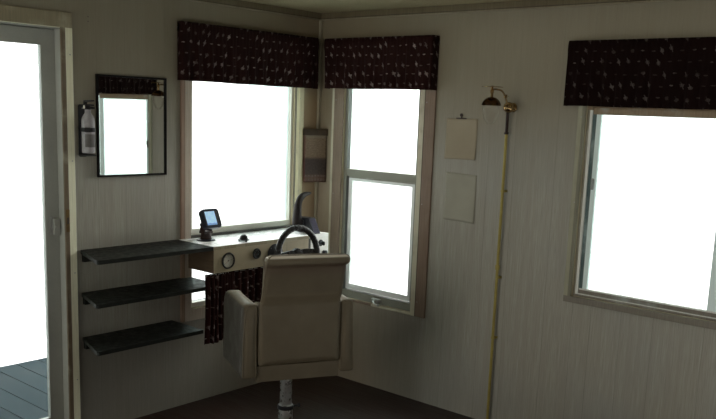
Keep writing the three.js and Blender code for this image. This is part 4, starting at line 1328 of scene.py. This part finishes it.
def depth_finder():
    """A display with keys that tilts in a forked foot."""
    x, y = -0.982, -0.115
    z = TOP_OF_CONSOLE
    rise = 0.087
    foot = Build()
    foot.lathe(mm((0, 0), (51.5, 0), (52, 2.5), (49.5, 6), (30, 8.5), (22, 9), (0, 9)), 0,
               Matrix.Translation((x, y, z)), 48)
    foot.lathe(mm((0, 8), (32, 8), (30, 15), (27.5, 30), (27.5, 39), (28.5, 43), (0, 43)), 1,
               Matrix.Translation((x, y, z)), 28)
    foot.block((x - 0.028, y - 0.024, z + 0.038), (x + 0.028, y + 0.024, z + 0.052), 1)
    for side in (-1, 1):
        outline = [(-0.024, 0.040), (0.024, 0.040), (0.0125, rise), (0.0085, rise + 0.009),
                   (0, rise + 0.0115), (-0.0085, rise + 0.009), (-0.0125, rise)]
        low, high = (x + side * 0.024 - 0.0035, x + side * 0.024 + 0.0035)
        foot.skin([[(a, y + b, z + c) for b, c in outline] for a in (low, high)], 1)
        knob = standing((x + side * 0.0275, y, z + rise), (side, 0, 0))
        foot.lathe(mm((0, 0), (10.5, 0), (11.5, 3), (10.5, 8.5), (7, 10), (0, 10)), 0, knob, 14)
    foot.make("depth_finder_foot_dressed", [BLUE_BLACK, RUST_BROWN], "controls", ["depth_finder_foot"],
              soft=0.0008)
    at = Matrix.Translation((x, y, z + rise)) @ Matrix.Rotation(math.radians(-25), 4, "X")
    head = Build()

    def ring(grow, y_at, radius):
        flat = round_ring(-0.056 + grow, 0.056 - grow, -0.040 + grow, 0.070 - grow, radius, 6)
        return [(a, y_at, b) for a, b in flat]

    head.skin([ring(0.007, -0.0262, 0.012), ring(0.002, -0.0285, 0.016), ring(0.0, -0.034, 0.018),
               ring(0.0, -0.0600, 0.018), ring(0.0018, -0.0645, 0.017), ring(0.0055, -0.0660, 0.014),
               ring(0.0085, -0.0655, 0.012), ring(0.0100, -0.0635, 0.011)], 0, at)
    head.block((-0.0192, -0.0275, -0.007), (0.0192, 0.0065, 0.007), 1, at)
    head.cylinder(0.0085, -0.0193, 0.0193, 1, at @ Matrix.Rotation(math.pi / 2, 4, "Y"), 20)
    port, starboard, bottom, top = -0.0415, 0.0255, -0.0230, 0.0540

    def display(s, t):
        return at @ Vector((port + (starboard - port) * s, -0.0642, bottom + (top - bottom) * t))

    head.sheet(4, 4, display, even, 2)
    for k in range(5):
        spot = Matrix.Translation((0.0365, -0.0636, 0.048 - 0.0165 * k))
        key = at @ spot @ Matrix.Rotation(math.pi / 2, 4, "X")
        head.prism(round_ring(-0.0058, 0.0058, -0.0048, 0.0048, 0.0022, 3), 0, 0.0016, 3, key)
    screen_head = head.make("depth_finder_head_dressed", [BLUE_BLACK, RUST_BROWN, screen(), MARKS],
                            "controls", ["depth_finder_head"], "finder_head", closed=False)
    soften(screen_head, 0.0006)


def compass():
    """A small ball compass on three feet."""
    at = Matrix.Translation((-0.838, -0.262, TOP_OF_CONSOLE))
    build = Build()
    build.lathe(mm((0, 6.5), (30, 6.5), (33.5, 8), (33.5, 9.5), (26, 12), (0, 12)), 0, at, 40)
    build.ball(0.0215, 1, at @ Matrix.Translation((0, 0, 0.0165)), 32, low=-20)
    build.lathe(mm((0, 11.8), (23.2, 11.8), (24, 13.5), (23.2, 16), (0, 16)), 0, at, 36)
    for a in turns(3):
        foot = at @ Matrix.Rotation(a + 0.4, 4, "Z") @ Matrix.Translation((0.024, 0, 0))
        build.lathe(mm((0, 0), (5.5, 0), (4.5, 6.6), (0, 6.6)), 0, foot, 14)
    build.block((-0.002, -0.024, 0.010), (0.002, -0.020, 0.030), 0, at)
    build.make("compass_dressed", [DARK_PLASTIC, FINISH["instruments"]], "instruments", ["compass"],
               soft=0.0006)


def console_back_strip():
    """The dark rubber strip between the console's back edge and the window."""
    build = Build()
    port, starboard = -1.0025, -0.2105
    outline = mm((-12, -4), (13.5, -4), (13.5, 10), (4, 13.5), (-12, 12.5))
    build.skin([[(x, y, TOP_OF_CONSOLE + h) for y, h in outline] for x in (port, starboard)])
    build.make("console_back_strip", [MARKS], "controls", soft=0.0012)


def fascia_switches():
    """The key switch and the knob on the fascia's white end."""
    build = Build()
    at = standing((-0.275, FRONT_FACE - GAP, FF + 0.905), (0, -1, 0))
    build.lathe(mm((10.5, 0), (20.5, 0), (20.5, 3), (18, 6), (11.8, 6), (10.5, 3)), 0, at, 32, closed=True)
    build.lathe(mm((0, 0), (10.5, 0), (10.5, 4), (9, 5.2), (0, 5.2)), 1, at, 28)
    build.block((-0.0011, -0.0060, 0.0045), (0.0011, 0.0060, 0.0056), 0, at)
    build.prism(round_ring(-0.0012, 0.0012, -0.0035, 0.0035, 0.001, 2), 0.0056, 0.016, 1, at)
    bow = at @ Matrix.Translation((0, 0, 0.024)) @ Matrix.Rotation(math.pi / 2, 4, "Y")
    build.prism(round_ring(-0.0115, 0.0095, -0.0125, 0.0125, 0.0085, 4), -0.0018, 0.0018, 0, bow)
    knob = standing((-0.247, FRONT_FACE - GAP, FF + 0.847), (0, -1, 0))
    build.lathe(mm((0, 0), (12, 0), (12, 2), (8.5, 3), (8.5, 10), (12.5, 13), (13, 20), (11.5, 23), (0, 24)),
                0, knob, 18)
    build.make("fascia_switches", [DARK_PLASTIC, BLUE_BLACK], "controls", soft=0.0005)


def gas_lamp():
    """A wall lamp on a brass ball, with its neck, burner, shade and globe, and the pipe that feeds it."""
    wall_x, y = -0.040, -1.402
    z = FF + 1.735
    axis = wall_x - 0.172
    fitting = Build()
    rose = standing((-GAP, y, z), (-1, 0, 0))
    fitting.lathe(mm((0, 0), (23.8, 0), (23.8, 2.5), (22.5, 5), (20.5, 6), (19.5, 9), (15, 10.5), (13.5, 15),
                     (13.5, 30), (17, 32), (17, 36), (0, 36)), 0, rose, 40)
    fitting.ball(0.0285, 0, Matrix.Translation((wall_x - 0.004, y, z)), 40)
    fitting.lathe(mm((28.5, -2.2), (29.7, -1.2), (29.7, 1.2), (28.5, 2.2)), 0,
                  Matrix.Translation((wall_x - 0.004, y, z)), 40, closed=True)
    neck = flowing([(wall_x - 0.020, y, z + 0.010), (wall_x - 0.042, y, z + 0.050),
                    (wall_x - 0.080, y, z + 0.080), (axis + 0.040, y, z + 0.086), (axis, y, z + 0.084)], 10)
    fitting.tube(neck, 0.0048, 0, sides=14)
    key = Matrix.Translation((wall_x - 0.046, y - 0.002, z + 0.056))
    fitting.lathe(mm((0, -8), (8.5, -8), (9.5, 0), (8.5, 8), (0, 8)), 0, key, 18)
    fitting.prism(round_ring(-0.0035, 0.0035, -0.020, -0.006, 0.003, 3), -0.0012, 0.0012, 0, key)
    burner = Matrix.Translation((axis, y, z))
    fitting.lathe(mm((0, 46), (7, 46), (7, 66), (8.8, 68), (8.8, 80), (6.6, 83), (4, 98), (0, 98)), 0,
                  burner, 20)
    fitting.lathe(mm((0, 96), (53.5, 95), (53.5, 97.8), (40, 99.4), (10, 100.2), (4, 103.5), (0, 104)), 0,
                  burner, 48)
    fitting.make("lamp_fitting_dressed", [FINISH["lamp_metal"], FINISH["shade"]], "lamp_metal",
                 ["lamp_fitting"], soft=0.0005)
    shade_piece = Build()
    outer = mm((7.8, 46.5), (15, 46), (24, 42.5), (33.5, 35.5), (41, 27), (46.5, 16.5), (49, 7.5), (49.7, 6),
               (49, 5))
    inner = mm((47, 6), (44, 16), (38.5, 25.5), (31, 33.5), (22, 40), (14, 43), (7.8, 43.5))
    shade_piece.lathe(outer + inner, 0, burner, 48, closed=True)
    shade_piece.make("lamp_shade_dressed", [FINISH["shade"]], "shade", ["lamp_shade"])
    globe = Build()
    skin = mm((30, 30), (38, 20), (42.5, 8), (44, -8), (43, -26), (39, -46), (32, -66), (23, -80),
              (14, -88))
    back = [(r - 0.0016 if r > 0.02 else r, h + (0.0014 if r < 0.02 else 0)) for r, h in skin[::-1]]
    globe.lathe(skin + back, 0, burner, 44, closed=True)
    globe.make("lamp_globe_dressed", [GLOBE_GLASS], "glass", ["lamp_globe"])
    pipe = Build()
    px = wall_x + 0.010
    y += 0.012
    top = z - 0.0268
    pipe.tube([(px, y, FF + 0.0006), (px, y, top - 0.105)], 0.0078, 0, sides=18)
    pipe.tube([(px, y, top - 0.105), (px, y, top)], 0.0082, 1, sides=18)
    pipe.lathe(mm((0, -112), (11.5, -112), (12.5, -108), (11.5, -100), (0, -100)), 1,
               Matrix.Translation((px, y, top)), 6)
    pipe.lathe(mm((0, 877), (11.5, 877), (13, 881), (13, 899), (11.5, 903), (0, 903)), 0,
               Matrix.Translation((px, y, FF)), 8)
    for height, ringed in ((0.500, True), (0.835, False), (1.300, True)):
        if ringed:
            pipe.lathe(mm((8, -6), (10.5, -6), (10.5, 6), (8, 6)), 0,
                       Matrix.Translation((px, y, FF + height)), 20, closed=True)
        pipe.block((px + 0.004, y - 0.012, FF + height - 0.006), (-GAP, y + 0.012, FF + height + 0.006), 0)
    pipe.lathe(mm((0, 0.6), (20, 0.6), (20, 3), (11, 6), (0, 6)), 2, Matrix.Translation((px, y, FF)), 24)
    pipe.make("gas_pipe_dressed", [FINISH["pipe"], RUST_BROWN, STEEL], "pipe", ["gas_pipe"], soft=0.0006)


def fire_extinguisher():
    """A bottle with its levers and gauge, held by a strap in a wall bracket."""
    at = Matrix.Translation((-1.652, -0.052, FF + 1.439))
    build = Build()
    build.lathe(mm((0, 0), (26, 0), (29.5, 2.5), (31, 8), (31, 152), (29.8, 164), (25.5, 176), (18.5, 186),
                   (14.5, 193), (14.5, 210), (0, 210)), 0, at, 48)
    build.lathe(mm((0, 209), (15, 209), (15, 215), (12, 219), (12, 232), (0, 232)), 1, at, 24)
    lever = mm((-42, 226), (28, 226), (30, 230), (28, 235), (-20, 235.5), (-42, 233))
    grip = mm((-46, 248), (-10, 245.5), (16, 244), (22, 230), (27, 232), (24, 252), (-10, 253.5),
              (-44, 254))
    for outline in (lever, grip):
        build.skin([[(x, a, b) for a, b in outline] for x in (-0.0085, 0.0085)], 1, at)
    pressure = at @ standing((-0.0120, 0, 0.2200), (-1, 0, 0))
    build.lathe(mm((0, 0), (10.5, 0), (11.5, 2), (11.5, 6), (10, 7.5), (0, 7.5)), 1, pressure, 24)
    build.cylinder(0.0088, 0.0076, 0.0080, 2, pressure, 20)
    nozzle = at @ standing((0.0100, -0.004, 0.2180), (0.8, -0.6, -0.1))
    build.lathe(mm((0, 0), (6, 0), (6, 12), (4.8, 16), (4.8, 22), (0, 22)), 1, nozzle, 16)
    patch = arc(0.0314, -150, 10, 13) + arc(0.0300, -30, -10, 13)
    build.prism(patch, 0.030, 0.092, 3, at)
    label = plain_wear("blank_label", (0.13, 0.125, 0.12), 0.5, 30.0, 0.2)
    build.make("fire_extinguisher_dressed", [FINISH["extinguisher"], FINISH["bracket"], CREAM_DIAL, label],
               "extinguisher", ["fire_extinguisher"], soft=0.0006)
    holder = Build()
    holder.prism(round_ring(-0.022, 0.022, -0.020, 0.232, 0.010), -0.0517, -0.0485, 0,
                 at @ Matrix.Rotation(math.pi / 2, 4, "X"))
    cup = round_ring(-0.030, 0.030, -0.034, 0.0515, 0.014)
    holder.prism(cup, -0.0120, -0.0060, 0, at)
    holder.lathe(mm((31.4, 103), (34.2, 103), (34.6, 106), (34.6, 120), (34.2, 123), (31.4, 123)), 0, at, 56,
                 closed=True)
    holder.block((-0.016, 0.0325, 0.105), (0.016, 0.0500, 0.121), 0, at)
    buckle = at @ Matrix.Rotation(math.radians(-125), 4, "Z") @ Matrix.Translation((0.0345, 0, 0.113))
    holder.block((-0.0005, -0.013, -0.011), (0.0040, 0.013, 0.011), 0, buckle)
    holder.block((0.0035, -0.004, -0.009), (0.0062, 0.010, 0.009), 0, buckle)
    for height in (0.006, 0.214):
        holder.screw(at @ Vector((0.0, 0.0485, height)), (0, -1, 0), 0.0038, 1)
    holder.make("extinguisher_bracket_dressed", [FINISH["bracket"], STEEL], "bracket",
                ["extinguisher_bracket"], soft=0.0006)


def window_crank():
    """The folding handle on the side window's sill."""
    y = -0.525
    z = FF + 0.526 + 0.024
    build = Build()
    rings = []
    for x, inset in ((0.0147, 0.0), (-0.002, 0.0), (-0.0075, 0.004)):
        flat = round_ring(inset - 0.032, 0.032 - inset, inset - 0.012, 0.012 - inset, 0.006)
        rings.append([(x, y + a, z + b) for a, b in flat])
    build.skin(rings)
    build.lathe(mm((0, 0), (9, 0), (8, 12), (0, 14)), 0, standing((-0.007, y, z), (-1, 0, 0)), 20)
    arm = flowing([(-0.014, y, z + 0.001), (-0.026, y - 0.004, z + 0.001), (-0.040, y - 0.020, z - 0.008),
                   (-0.044, y - 0.058, z - 0.014)], 8)
    build.tube(arm, [0.0058 - 0.0022 * i / (len(arm) - 1) for i in range(len(arm))], 0, sides=12, flat=0.8)
    knob = standing((-0.044, y - 0.0585, z - 0.013), (-0.8, -0.25, 0.4))
    build.lathe(mm((0, -6), (6, -6), (7.5, 0), (8.2, 10), (7, 16), (0, 18)), 0,
                knob @ Matrix.Scale(0.5, 4, (0, 0, 1)), 20)
    for dy in (-0.024, 0.024):
        build.screw((-0.0052, y + dy, z), (-1, 0, 0), 0.003, 0)
    build.make("window_crank_dressed", [FINISH["crank"]], "crank", ["window_crank"], soft=0.0006)


def door_hardware():
    """Strike plate on the jamb, and the pull and lock on the sliding door's stile."""
    strike = Build()
    plate = standing((-1.7475, -0.0125, FF + 1.112), (0, -1, 0))
    strike.prism(round_ring(-0.0095, 0.0095, -0.056, 0.056, 0.004, 3), 0, 0.0016, 0, plate)
    strike.block((-0.004, -0.016, 0.0012), (0.004, 0.016, 0.0020), 1, plate)
    for dz in (-0.046, 0.046):
        strike.screw(plate @ Vector((0, dz, 0.0016)), (0, -1, 0), 0.003, 0)
    strike.make("door_strike", [plain_wear("tarnished_brass", (0.20, 0.13, 0.06), 0.45, 30.0, 0.25,
                                           Metallic=0.8), MARKS], "door_frame", soft=0.0004)
    latch = Build()
    face = standing((-1.800, 0.0468, FF + 1.085), (0, -1, 0))
    latch.prism(round_ring(-0.010, 0.010, -0.045, 0.045, 0.006), 0, 0.0030, 0, face)
    latch.prism(round_ring(-0.0045, 0.0045, -0.020, 0.020, 0.004, 3), 0.003, 0.009, 0, face)
    for dz in (-0.037, 0.037):
        latch.screw(face @ Vector((0, dz, 0.003)), (0, -1, 0), 0.0026, 0)
    latch.make("door_latch", [STEEL], "door_frame", body="sliding_door", soft=0.0005)


def door_head_seal():
    """The strip that closes the slit above the sliding door."""
    build = Build()
    build.block((-3.234, 0.0775, FF + 2.001), (-1.761, 0.0795, FF + 2.016))
    build.make("door_head_seal", [FINISH["door_frame"]], "door_frame")


def sash_latch():
    """The small upright latch on the aft window's forward stile."""
    at = standing((0.0216, -1.868, FF + 1.375), (-1, 0, 0))
    build = Build()
    build.prism(round_ring(-0.008, 0.008, -0.028, 0.028, 0.004, 3), 0, 0.0030, 0, at)
    build.prism(round_ring(-0.0050, 0.0050, -0.008, 0.022, 0.003, 3), 0.0030, 0.0100, 0, at)
    build.make("aft_sash_latch", [STEEL], "window_frame", body="aft_window_sash", soft=0.0005)


def wall_fasteners():
    """Screw heads along the casings and two bare screw holes beside the mirror."""
    casing_face = 0.0123
    heads = Build()
    for height in (0.30, 0.85, 1.40, 1.90):
        for along in (-1.716, -3.279):
            heads.screw(wall_point("front", along, casing_face, height), INTO_CABIN["front"], 0.0032)
    casings = (
        ("front", -0.176, -1.037, 0.62, 1.75), ("side", -0.157, -0.851, 0.60, 1.75),
        ("side", -1.796, -3.004, 0.86, 1.70),
    )
    for wall, near, far, low, high in casings:
        for height in (low, (low + high) / 2, high):
            for along in (near, far):
                heads.screw(wall_point(wall, along, casing_face, height), INTO_CABIN[wall], 0.0028)
    heads.make("casing_screws", [STEEL], "crank")
    holes = Build()
    for height in (2.085, 2.085 - 0.022):
        at = standing(wall_point("front", -1.610, 0.0001, height), INTO_CABIN["front"])
        holes.cylinder(0.0026, 0, 0.0004, 0, at, 12)
    holes.make("screw_holes", [MARKS], "walls")


# Helm chair. Its own axes: x = y = 0 on the swivel, the seat faces +Y, and heights are above the floor.
SWIVEL = Matrix.Translation((CHAIR_X, CHAIR_Y, FF)) @ Matrix.Rotation(CHAIR_TURN, 4, "Z")
HALF_CHAIR = 0.281
ARM_WIDTH = 0.077
ARM_TOP = 0.801
ARM_REAR, ARM_FRONT = -0.202, 0.178
SEAT_FRONT = 0.282
PAN = 0.500
BACK_TOP, BACK_ROLL = 1.034, 0.024
BETWEEN_ARMS = HALF_CHAIR - ARM_WIDTH - GAP


def pad_piece(name, build, stands_for, pressure, most, cover):
    """A stuffed piece, swollen with air."""
    piece = build.make(name, [cover], "vinyl", stands_for, "chair_seat", crease=180)
    puff(piece, 0.0055, pressure, most)
    piece.data.shade_smooth()
    return piece


def back_section(height):
    """Port and starboard reach, rear and front of the chair's back at a height above the floor."""
    wide = lerp(height, (0.50, 0.1960), (0.52, 0.2020), (0.795, 0.2020), (0.812, 0.1955), (0.98, 0.1955))
    reaches = []
    for corner, flare in ((0.030, 0.0), (0.014, 0.011)):
        above = max(0.0, (height - (BACK_TOP - corner)) / corner)
        cut = corner * (1 - math.sqrt(max(0.0, 1 - above * above)))
        reaches.append(wide - cut + flare * min(1.0, max(0.0, (height - 0.988) / 0.012)))
    rear = lerp(
        height, (0.50, -0.2045), (0.795, -0.2045), (0.812, -0.2120), (0.840, -0.2300), (0.985, -0.2735),
        (0.997, -0.2890), (1.008, -0.2965),
    )
    front = lerp(height, (0.50, -0.100), (1.018, -0.222))
    over = max(0.0, (height - (BACK_TOP - BACK_ROLL)) / BACK_ROLL)
    rounding = BACK_ROLL * (1 - math.sqrt(max(0.0, 1 - over * over)))
    return *reaches, rear + rounding, front - rounding


def back_cushion():
    """The back with its overhanging roll, and the piping round its front and rear faces."""
    heights = [0.5012, 0.506, 0.514, 0.53, 0.60, 0.68, 0.75, 0.785, 0.795, 0.804, 0.812, 0.826, 0.84, 0.87]
    heights += [0.90, 0.95, 0.975, 0.985, 0.991, 0.997, 1.003, 1.008]
    over_roll = (12, 24, 35, 45, 55, 64, 72, 80, 86)
    heights += [BACK_TOP - BACK_ROLL * (1 - math.sin(math.radians(a))) for a in over_roll]
    crisp, soft = 0.009, 0.030
    rings = []
    for height in heights:
        port, starboard, rear, front = back_section(height)
        flat = round_ring(-port, starboard, rear, front, soft, 5, crisp)
        rings.append([(x, y, height) for x, y in flat])
    build = Build()
    build.skin(rings, 0, SWIVEL)
    piece = pad_piece("back_cushion_stuffed", build, ["back_cushion"], 1.6, 0.005, BACK_VINYL)
    rails = Build()
    for face, inward in ((-1, 0.003), (1, 0.010)):
        path = []
        for side in (-1, 1):
            steps = heights[2:] if side < 0 else heights[:1:-1]
            for height in steps:
                port, starboard, rear, front = back_section(height)
                x = starboard - inward if side > 0 else inward - port
                path.append(SWIVEL @ Vector((x, front - inward if face > 0 else rear + inward, height)))
        smooth = flowing(path, 3)
        rails.tube(hugging(piece, smooth, 0.0004), 0.0026, 0, sides=8)
    rails.make("back_piping", [PIPING], "vinyl", body="chair_seat")


def seat_cushion():
    """A boxed cushion with a crowned top and piping round both faces."""
    reach = BETWEEN_ARMS - 0.003
    rear, front, corner = -0.096, SEAT_FRONT - 0.003, 0.030
    levels = [(0.5012, 0.010), (0.506, 0.003), (0.515, 0), (0.555, 0), (0.566, 0.003), (0.573, 0.009),
              (0.577, 0.020)]
    rings = []
    for height, inset in levels:
        flat = round_ring(inset - reach, reach - inset, rear + inset, front - inset, corner, 5)
        rings.append([(x, y, height) for x, y in flat])
    build = Build()
    build.skin(rings, 0, SWIVEL)
    piece = pad_piece("seat_cushion_stuffed", build, ["seat_cushion"], 3.0, 0.012, VINYL)
    rails = Build()
    for height in (0.516, 0.562):
        edge = round_ring(-reach, reach, rear, front, corner, 6)
        loop = [SWIVEL @ Vector((x, y, height)) for x, y in edge]
        rails.tube(hugging(piece, flowing(loop, 4, loop=True), 0.0010), 0.0030, 0, sides=8, loop=True)
    rails.make("seat_piping", [PIPING], "vinyl", body="chair_seat")


def arm_arch(top):
    """The piping's course over an arm's end, by distance from the chair's middle and height."""
    outer, inner = HALF_CHAIR, HALF_CHAIR - ARM_WIDTH
    return [
        (outer - 0.007, 0.455), (outer - 0.007, 0.60), (outer - 0.016, top - 0.060),
        (outer - 0.030, top - 0.010), (outer - 0.052, top - 0.008), (inner + 0.010, top - 0.020),
        (inner + 0.006, 0.60), (inner + 0.006, 0.455),
    ]


def chair_arms():
    """Two stuffed arms with round fronts, their piping, and the pan with its height lever between them."""
    build = Build()
    nose = 0.060
    stations = [(ARM_REAR, 0.008), (ARM_REAR + 0.002, 0.0028), (ARM_REAR + 0.007, 0.0)]
    stations += [(y, 0.0) for y in (-0.12, -0.04, 0.04, 0.118)]
    stations += [(ARM_FRONT - nose + nose * math.sin(math.radians(a)), 0.0) for a in (18, 34, 48, 60, 70)]
    stations += [(ARM_FRONT - 0.0022, 0.003), (ARM_FRONT, 0.011)]
    for side, most_lean in ((-1, 0.004), (1, 0.016)):
        rings = []
        for y, inset in stations:
            forward = max(0.0, (y - (ARM_FRONT - nose)) / nose)
            top = ARM_TOP - nose * (1 - math.sqrt(max(0.0, 1 - min(1.0, forward) ** 2))) * 0.92
            inner, outer = HALF_CHAIR - ARM_WIDTH + inset, HALF_CHAIR - inset
            low = 0.442 + inset
            flat = round_ring(inner, outer, low, top - inset, 0.013, 5)
            ring = []
            for x, z in flat:
                lean = most_lean * min(1.0, max(0.0, (z - 0.60) / 0.2)) * (x - inner) / ARM_WIDTH
                ring.append((side * (x - lean), y, z))
            rings.append(ring)
        build.skin(rings, 0, SWIVEL)
    arms = pad_piece("chair_arms", build, ["chair_shell"], 1.4, 0.0045, ARM_VINYL)
    rails = Build()
    for side in (-1, 1):
        for y, top in ((ARM_REAR, ARM_TOP), (ARM_FRONT - 0.004, ARM_TOP - 0.046)):
            path = [SWIVEL @ Vector((side * x, y, z)) for x, z in arm_arch(top)]
            rails.tube(hugging(arms, flowing(path, 8), 0.0010), 0.0030, 0, sides=8)
    rails.make("arm_piping", [PIPING], "vinyl", body="chair_seat")
    pan = Build()
    half = HALF_CHAIR - ARM_WIDTH
    pan.block((-half + 0.001, ARM_REAR + 0.012, 0.423), (half - 0.001, ARM_FRONT, PAN - 0.001), 0, SWIVEL)
    apron = round_ring(-half + 0.001, half - 0.001, ARM_FRONT - 0.02, SEAT_FRONT - 0.012, 0.025)
    pan.prism(apron, 0.423, PAN - 0.001, 0, SWIVEL)
    pan.block((-0.120, -0.120, 0.4015), (0.120, 0.120, 0.4235), 1, SWIVEL)
    pan.cylinder(0.036, 0.3812, 0.402, 1, SWIVEL, 32)
    for dx in (-0.1, 0.1):
        for dy in (-0.1, 0.1):
            pan.screw(SWIVEL @ Vector((dx, dy, 0.4014)), (0, 0, -1), 0.007, 1)
    lever = flowing([(0.09, 0.05, 0.412), (0.17, 0.06, 0.410), (0.235, 0.065, 0.404), (0.262, 0.066, 0.398)],
                    6)
    pan.tube(lever, 0.004, 1, SWIVEL, sides=10)
    pan.tube([(0.235, 0.065, 0.404), (0.264, 0.066, 0.3975)], 0.0075, 2, SWIVEL, sides=12)
    pan.make("chair_pan", [VINYL, STEEL, DARK_PLASTIC], "vinyl", ["chair_shell"], "chair_seat", soft=0.003)


def chair_pedestal():
    """A bolted base plate, a telescoping column and the collar with its clamping knob."""
    build = Build()
    base = mm((0, 0.4), (163, 0.4), (165, 2.5), (161, 6), (72, 7.5), (60, 13), (51, 26), (42, 40),
              (38.5, 45), (36.2, 50), (36.2, 150), (0, 150))
    build.lathe(base, 0, SWIVEL, 56)
    build.lathe(mm((0, 148), (36.2, 148), (36.2, 230), (34, 234), (30, 234.5), (30, 376), (34.5, 377.5),
                   (34.5, 380.5), (0, 380.5)), 0, SWIVEL, 40)
    build.lathe(mm((36.5, 208), (40.5, 210), (40.5, 229), (36.5, 231)), 1, SWIVEL, 40, closed=True)
    tee = SWIVEL @ standing((0.040, 0, 0.2195), (1, 0, 0))
    build.lathe(mm((0, 0), (4.5, 0), (4.5, 22), (11, 24), (12, 33), (0, 35)), 1, tee, 16)
    for bolt in around(SWIVEL, 0.138, 0.0058, 6, 15):
        build.lathe(mm((0, 0), (8.5, 0), (8.5, 3.5), (6.5, 6), (0, 6.2)), 2, bolt, 6)
    build.make("chair_pedestal_dressed", [FINISH["pedestal"], DARK_PLASTIC, STEEL], "pedestal",
               ["chair_pedestal"], soft=0.0008)


valance("front_valance", "front", -0.060, -1.090, 1.812, 2.120, 1)
valance("side_valance", "side", -0.094, -0.910, 1.816, 2.115, 2, rod_off=0.063)
valance("aft_valance", "side", -1.712, -3.090, 1.750, 2.065, 3, cloth=SHADED_COTTON)
skirt_curtain()
hanging_calendar()
wall_papers()
steering_wheel()
gauge("speed_gauge", -0.989, 0.875, 0.045, 0.040, CREAM_DIAL, MARKS, 250, 31)
gauge("engine_gauge", -0.786, 0.893, 0.030, 0.025, BLACK_DIAL, PALE_MARKS, 220, 21)
throttle()
control_box()
depth_finder()
compass()
console_back_strip()
fascia_switches()
gas_lamp()
fire_extinguisher()
window_crank()
door_hardware()
door_head_seal()
sash_latch()
wall_fasteners()
back_cushion()
seat_cushion()
chair_arms()
chair_pedestal()

# Edges of the pieces carried over from CAD
SOFT_EDGES = {
    0.0025: ["front_window_casing", "side_window_casing", "aft_window_casing", "door_casing", "console_body"],
    0.0020: ["shelf_upper", "shelf_middle", "shelf_lower", "console_top", "room_trim"],
    0.0015: ["front_window_frame", "side_window_frame", "side_sash", "aft_window_frame", "aft_sash"],
    0.0012: ["door_frame", "door_fixed_panel", "door_slider", "mirror_frame"],
}
for width, names in SOFT_EDGES.items():
    for name in names:
        node = frame["nodes"][name]
        weld = node.modifiers.new("weld", "WELD")
        weld.merge_threshold = 0.00001
        soften(node, width)


# Light: a dim room behind the camera, a bright sky beyond the windows, and a pale floor under it all
DIM_SKY = (0.125, 0.116, 0.094)
BRIGHT_SKY = (2.5, 2.55, 2.5)
BRIGHT_SIDE = (0.68, 0.73, 0.0)


def make_light():
    world = bpy.data.worlds.new("studio")
    bpy.context.scene.world = world
    world.use_nodes = True
    tree = world.node_tree
    tree.nodes.clear()
    where = tree.nodes.new("ShaderNodeTexCoord")
    facing = tree.nodes.new("ShaderNodeVectorMath")
    facing.operation = "DOT_PRODUCT"
    facing.inputs[1].default_value = BRIGHT_SIDE
    spread = tree.nodes.new("ShaderNodeMapRange")
    spread.interpolation_type = "SMOOTHSTEP"
    spread.inputs["From Min"].default_value = -0.25
    spread.inputs["From Max"].default_value = 0.55
    blend = tree.nodes.new("ShaderNodeMix")
    blend.data_type = "RGBA"
    blend.inputs[6].default_value = (*DIM_SKY, 1)
    blend.inputs[7].default_value = (*BRIGHT_SKY, 1)
    sky = tree.nodes.new("ShaderNodeBackground")
    end = tree.nodes.new("ShaderNodeOutputWorld")
    link = tree.links.new
    link(where.outputs["Generated"], facing.inputs[0])
    link(facing.outputs["Value"], spread.inputs["Value"])
    link(spread.outputs[0], blend.inputs[0])
    link(blend.outputs[2], sky.inputs["Color"])
    link(sky.outputs[0], end.inputs["Surface"])


def soft_box(name, place, aim, size, power, colour=(1, 1, 1)):
    data = bpy.data.lights.new(name, "AREA")
    data.shape = "DISK"
    data.size = size
    data.energy = power
    data.color = colour
    lamp = bpy.data.objects.new(name, data)
    bpy.context.scene.collection.objects.link(lamp)
    lamp.location = place
    lamp.rotation_mode = "QUATERNION"
    lamp.rotation_quaternion = (Vector(aim) - Vector(place)).to_track_quat("-Z", "Y")
    lamp.visible_camera = False
    lamp.visible_glossy = False


make_light()
soft_box("outside_box", (6.0, 5.5, 5.5), (0.5, 0.5, 0.6), 5.0, 900, (0.97, 1.0, 1.0))
soft_box("front_box", (0.4, 3.2, 3.0), (-0.6, -0.15, 1.1), 2.2, 420, (0.97, 1.0, 1.0))
soft_box("side_box", (3.0, -0.6, 2.6), (0.0, -0.5, 1.2), 2.2, 420, (1.0, 0.99, 0.95))
soft_box("port_box", (-9.0, -1.5, 2.2), (0.0, -1.6, 1.2), 4.0, 150, (1.0, 0.97, 0.88))
bpy.context.scene.view_settings.view_transform = "Standard"


def make_stage():
    """A pale round floor that thins out to nothing, so the sky shows beyond it."""
    p = Paint("stage_floor")
    tone = p.ramp(p.noise(0.8, 3, 0.5), (0.3, (0.80, 0.80, 0.78)), (0.7, (0.86, 0.86, 0.84)))
    centre = (-1.6, -0.9)
    solid_radius, last_radius = 3.4, 6.2
    x, y, _ = p.split(p.place)
    away = [p.minus(a, b) for a, b in zip((x, y), centre)]
    far = p.math("SQRT", p.plus(*(p.times(a, a) for a in away)))
    p.join(p.band(far, solid_radius, last_radius, 1, 0), p.shader.inputs["Alpha"])
    mat = p.done(tone, 0.85)
    mesh = bpy.data.meshes.new("stage_floor")
    rim = [
        (centre[0] + last_radius * math.cos(a), centre[1] + last_radius * math.sin(a), 0) for a in turns(72)
    ]
    mesh.from_pydata(rim, [], [list(range(len(rim)))])
    mesh.materials.append(mat)
    floor = bpy.data.objects.new("stage_floor", mesh)
    bpy.context.scene.collection.objects.link(floor)


make_stage()
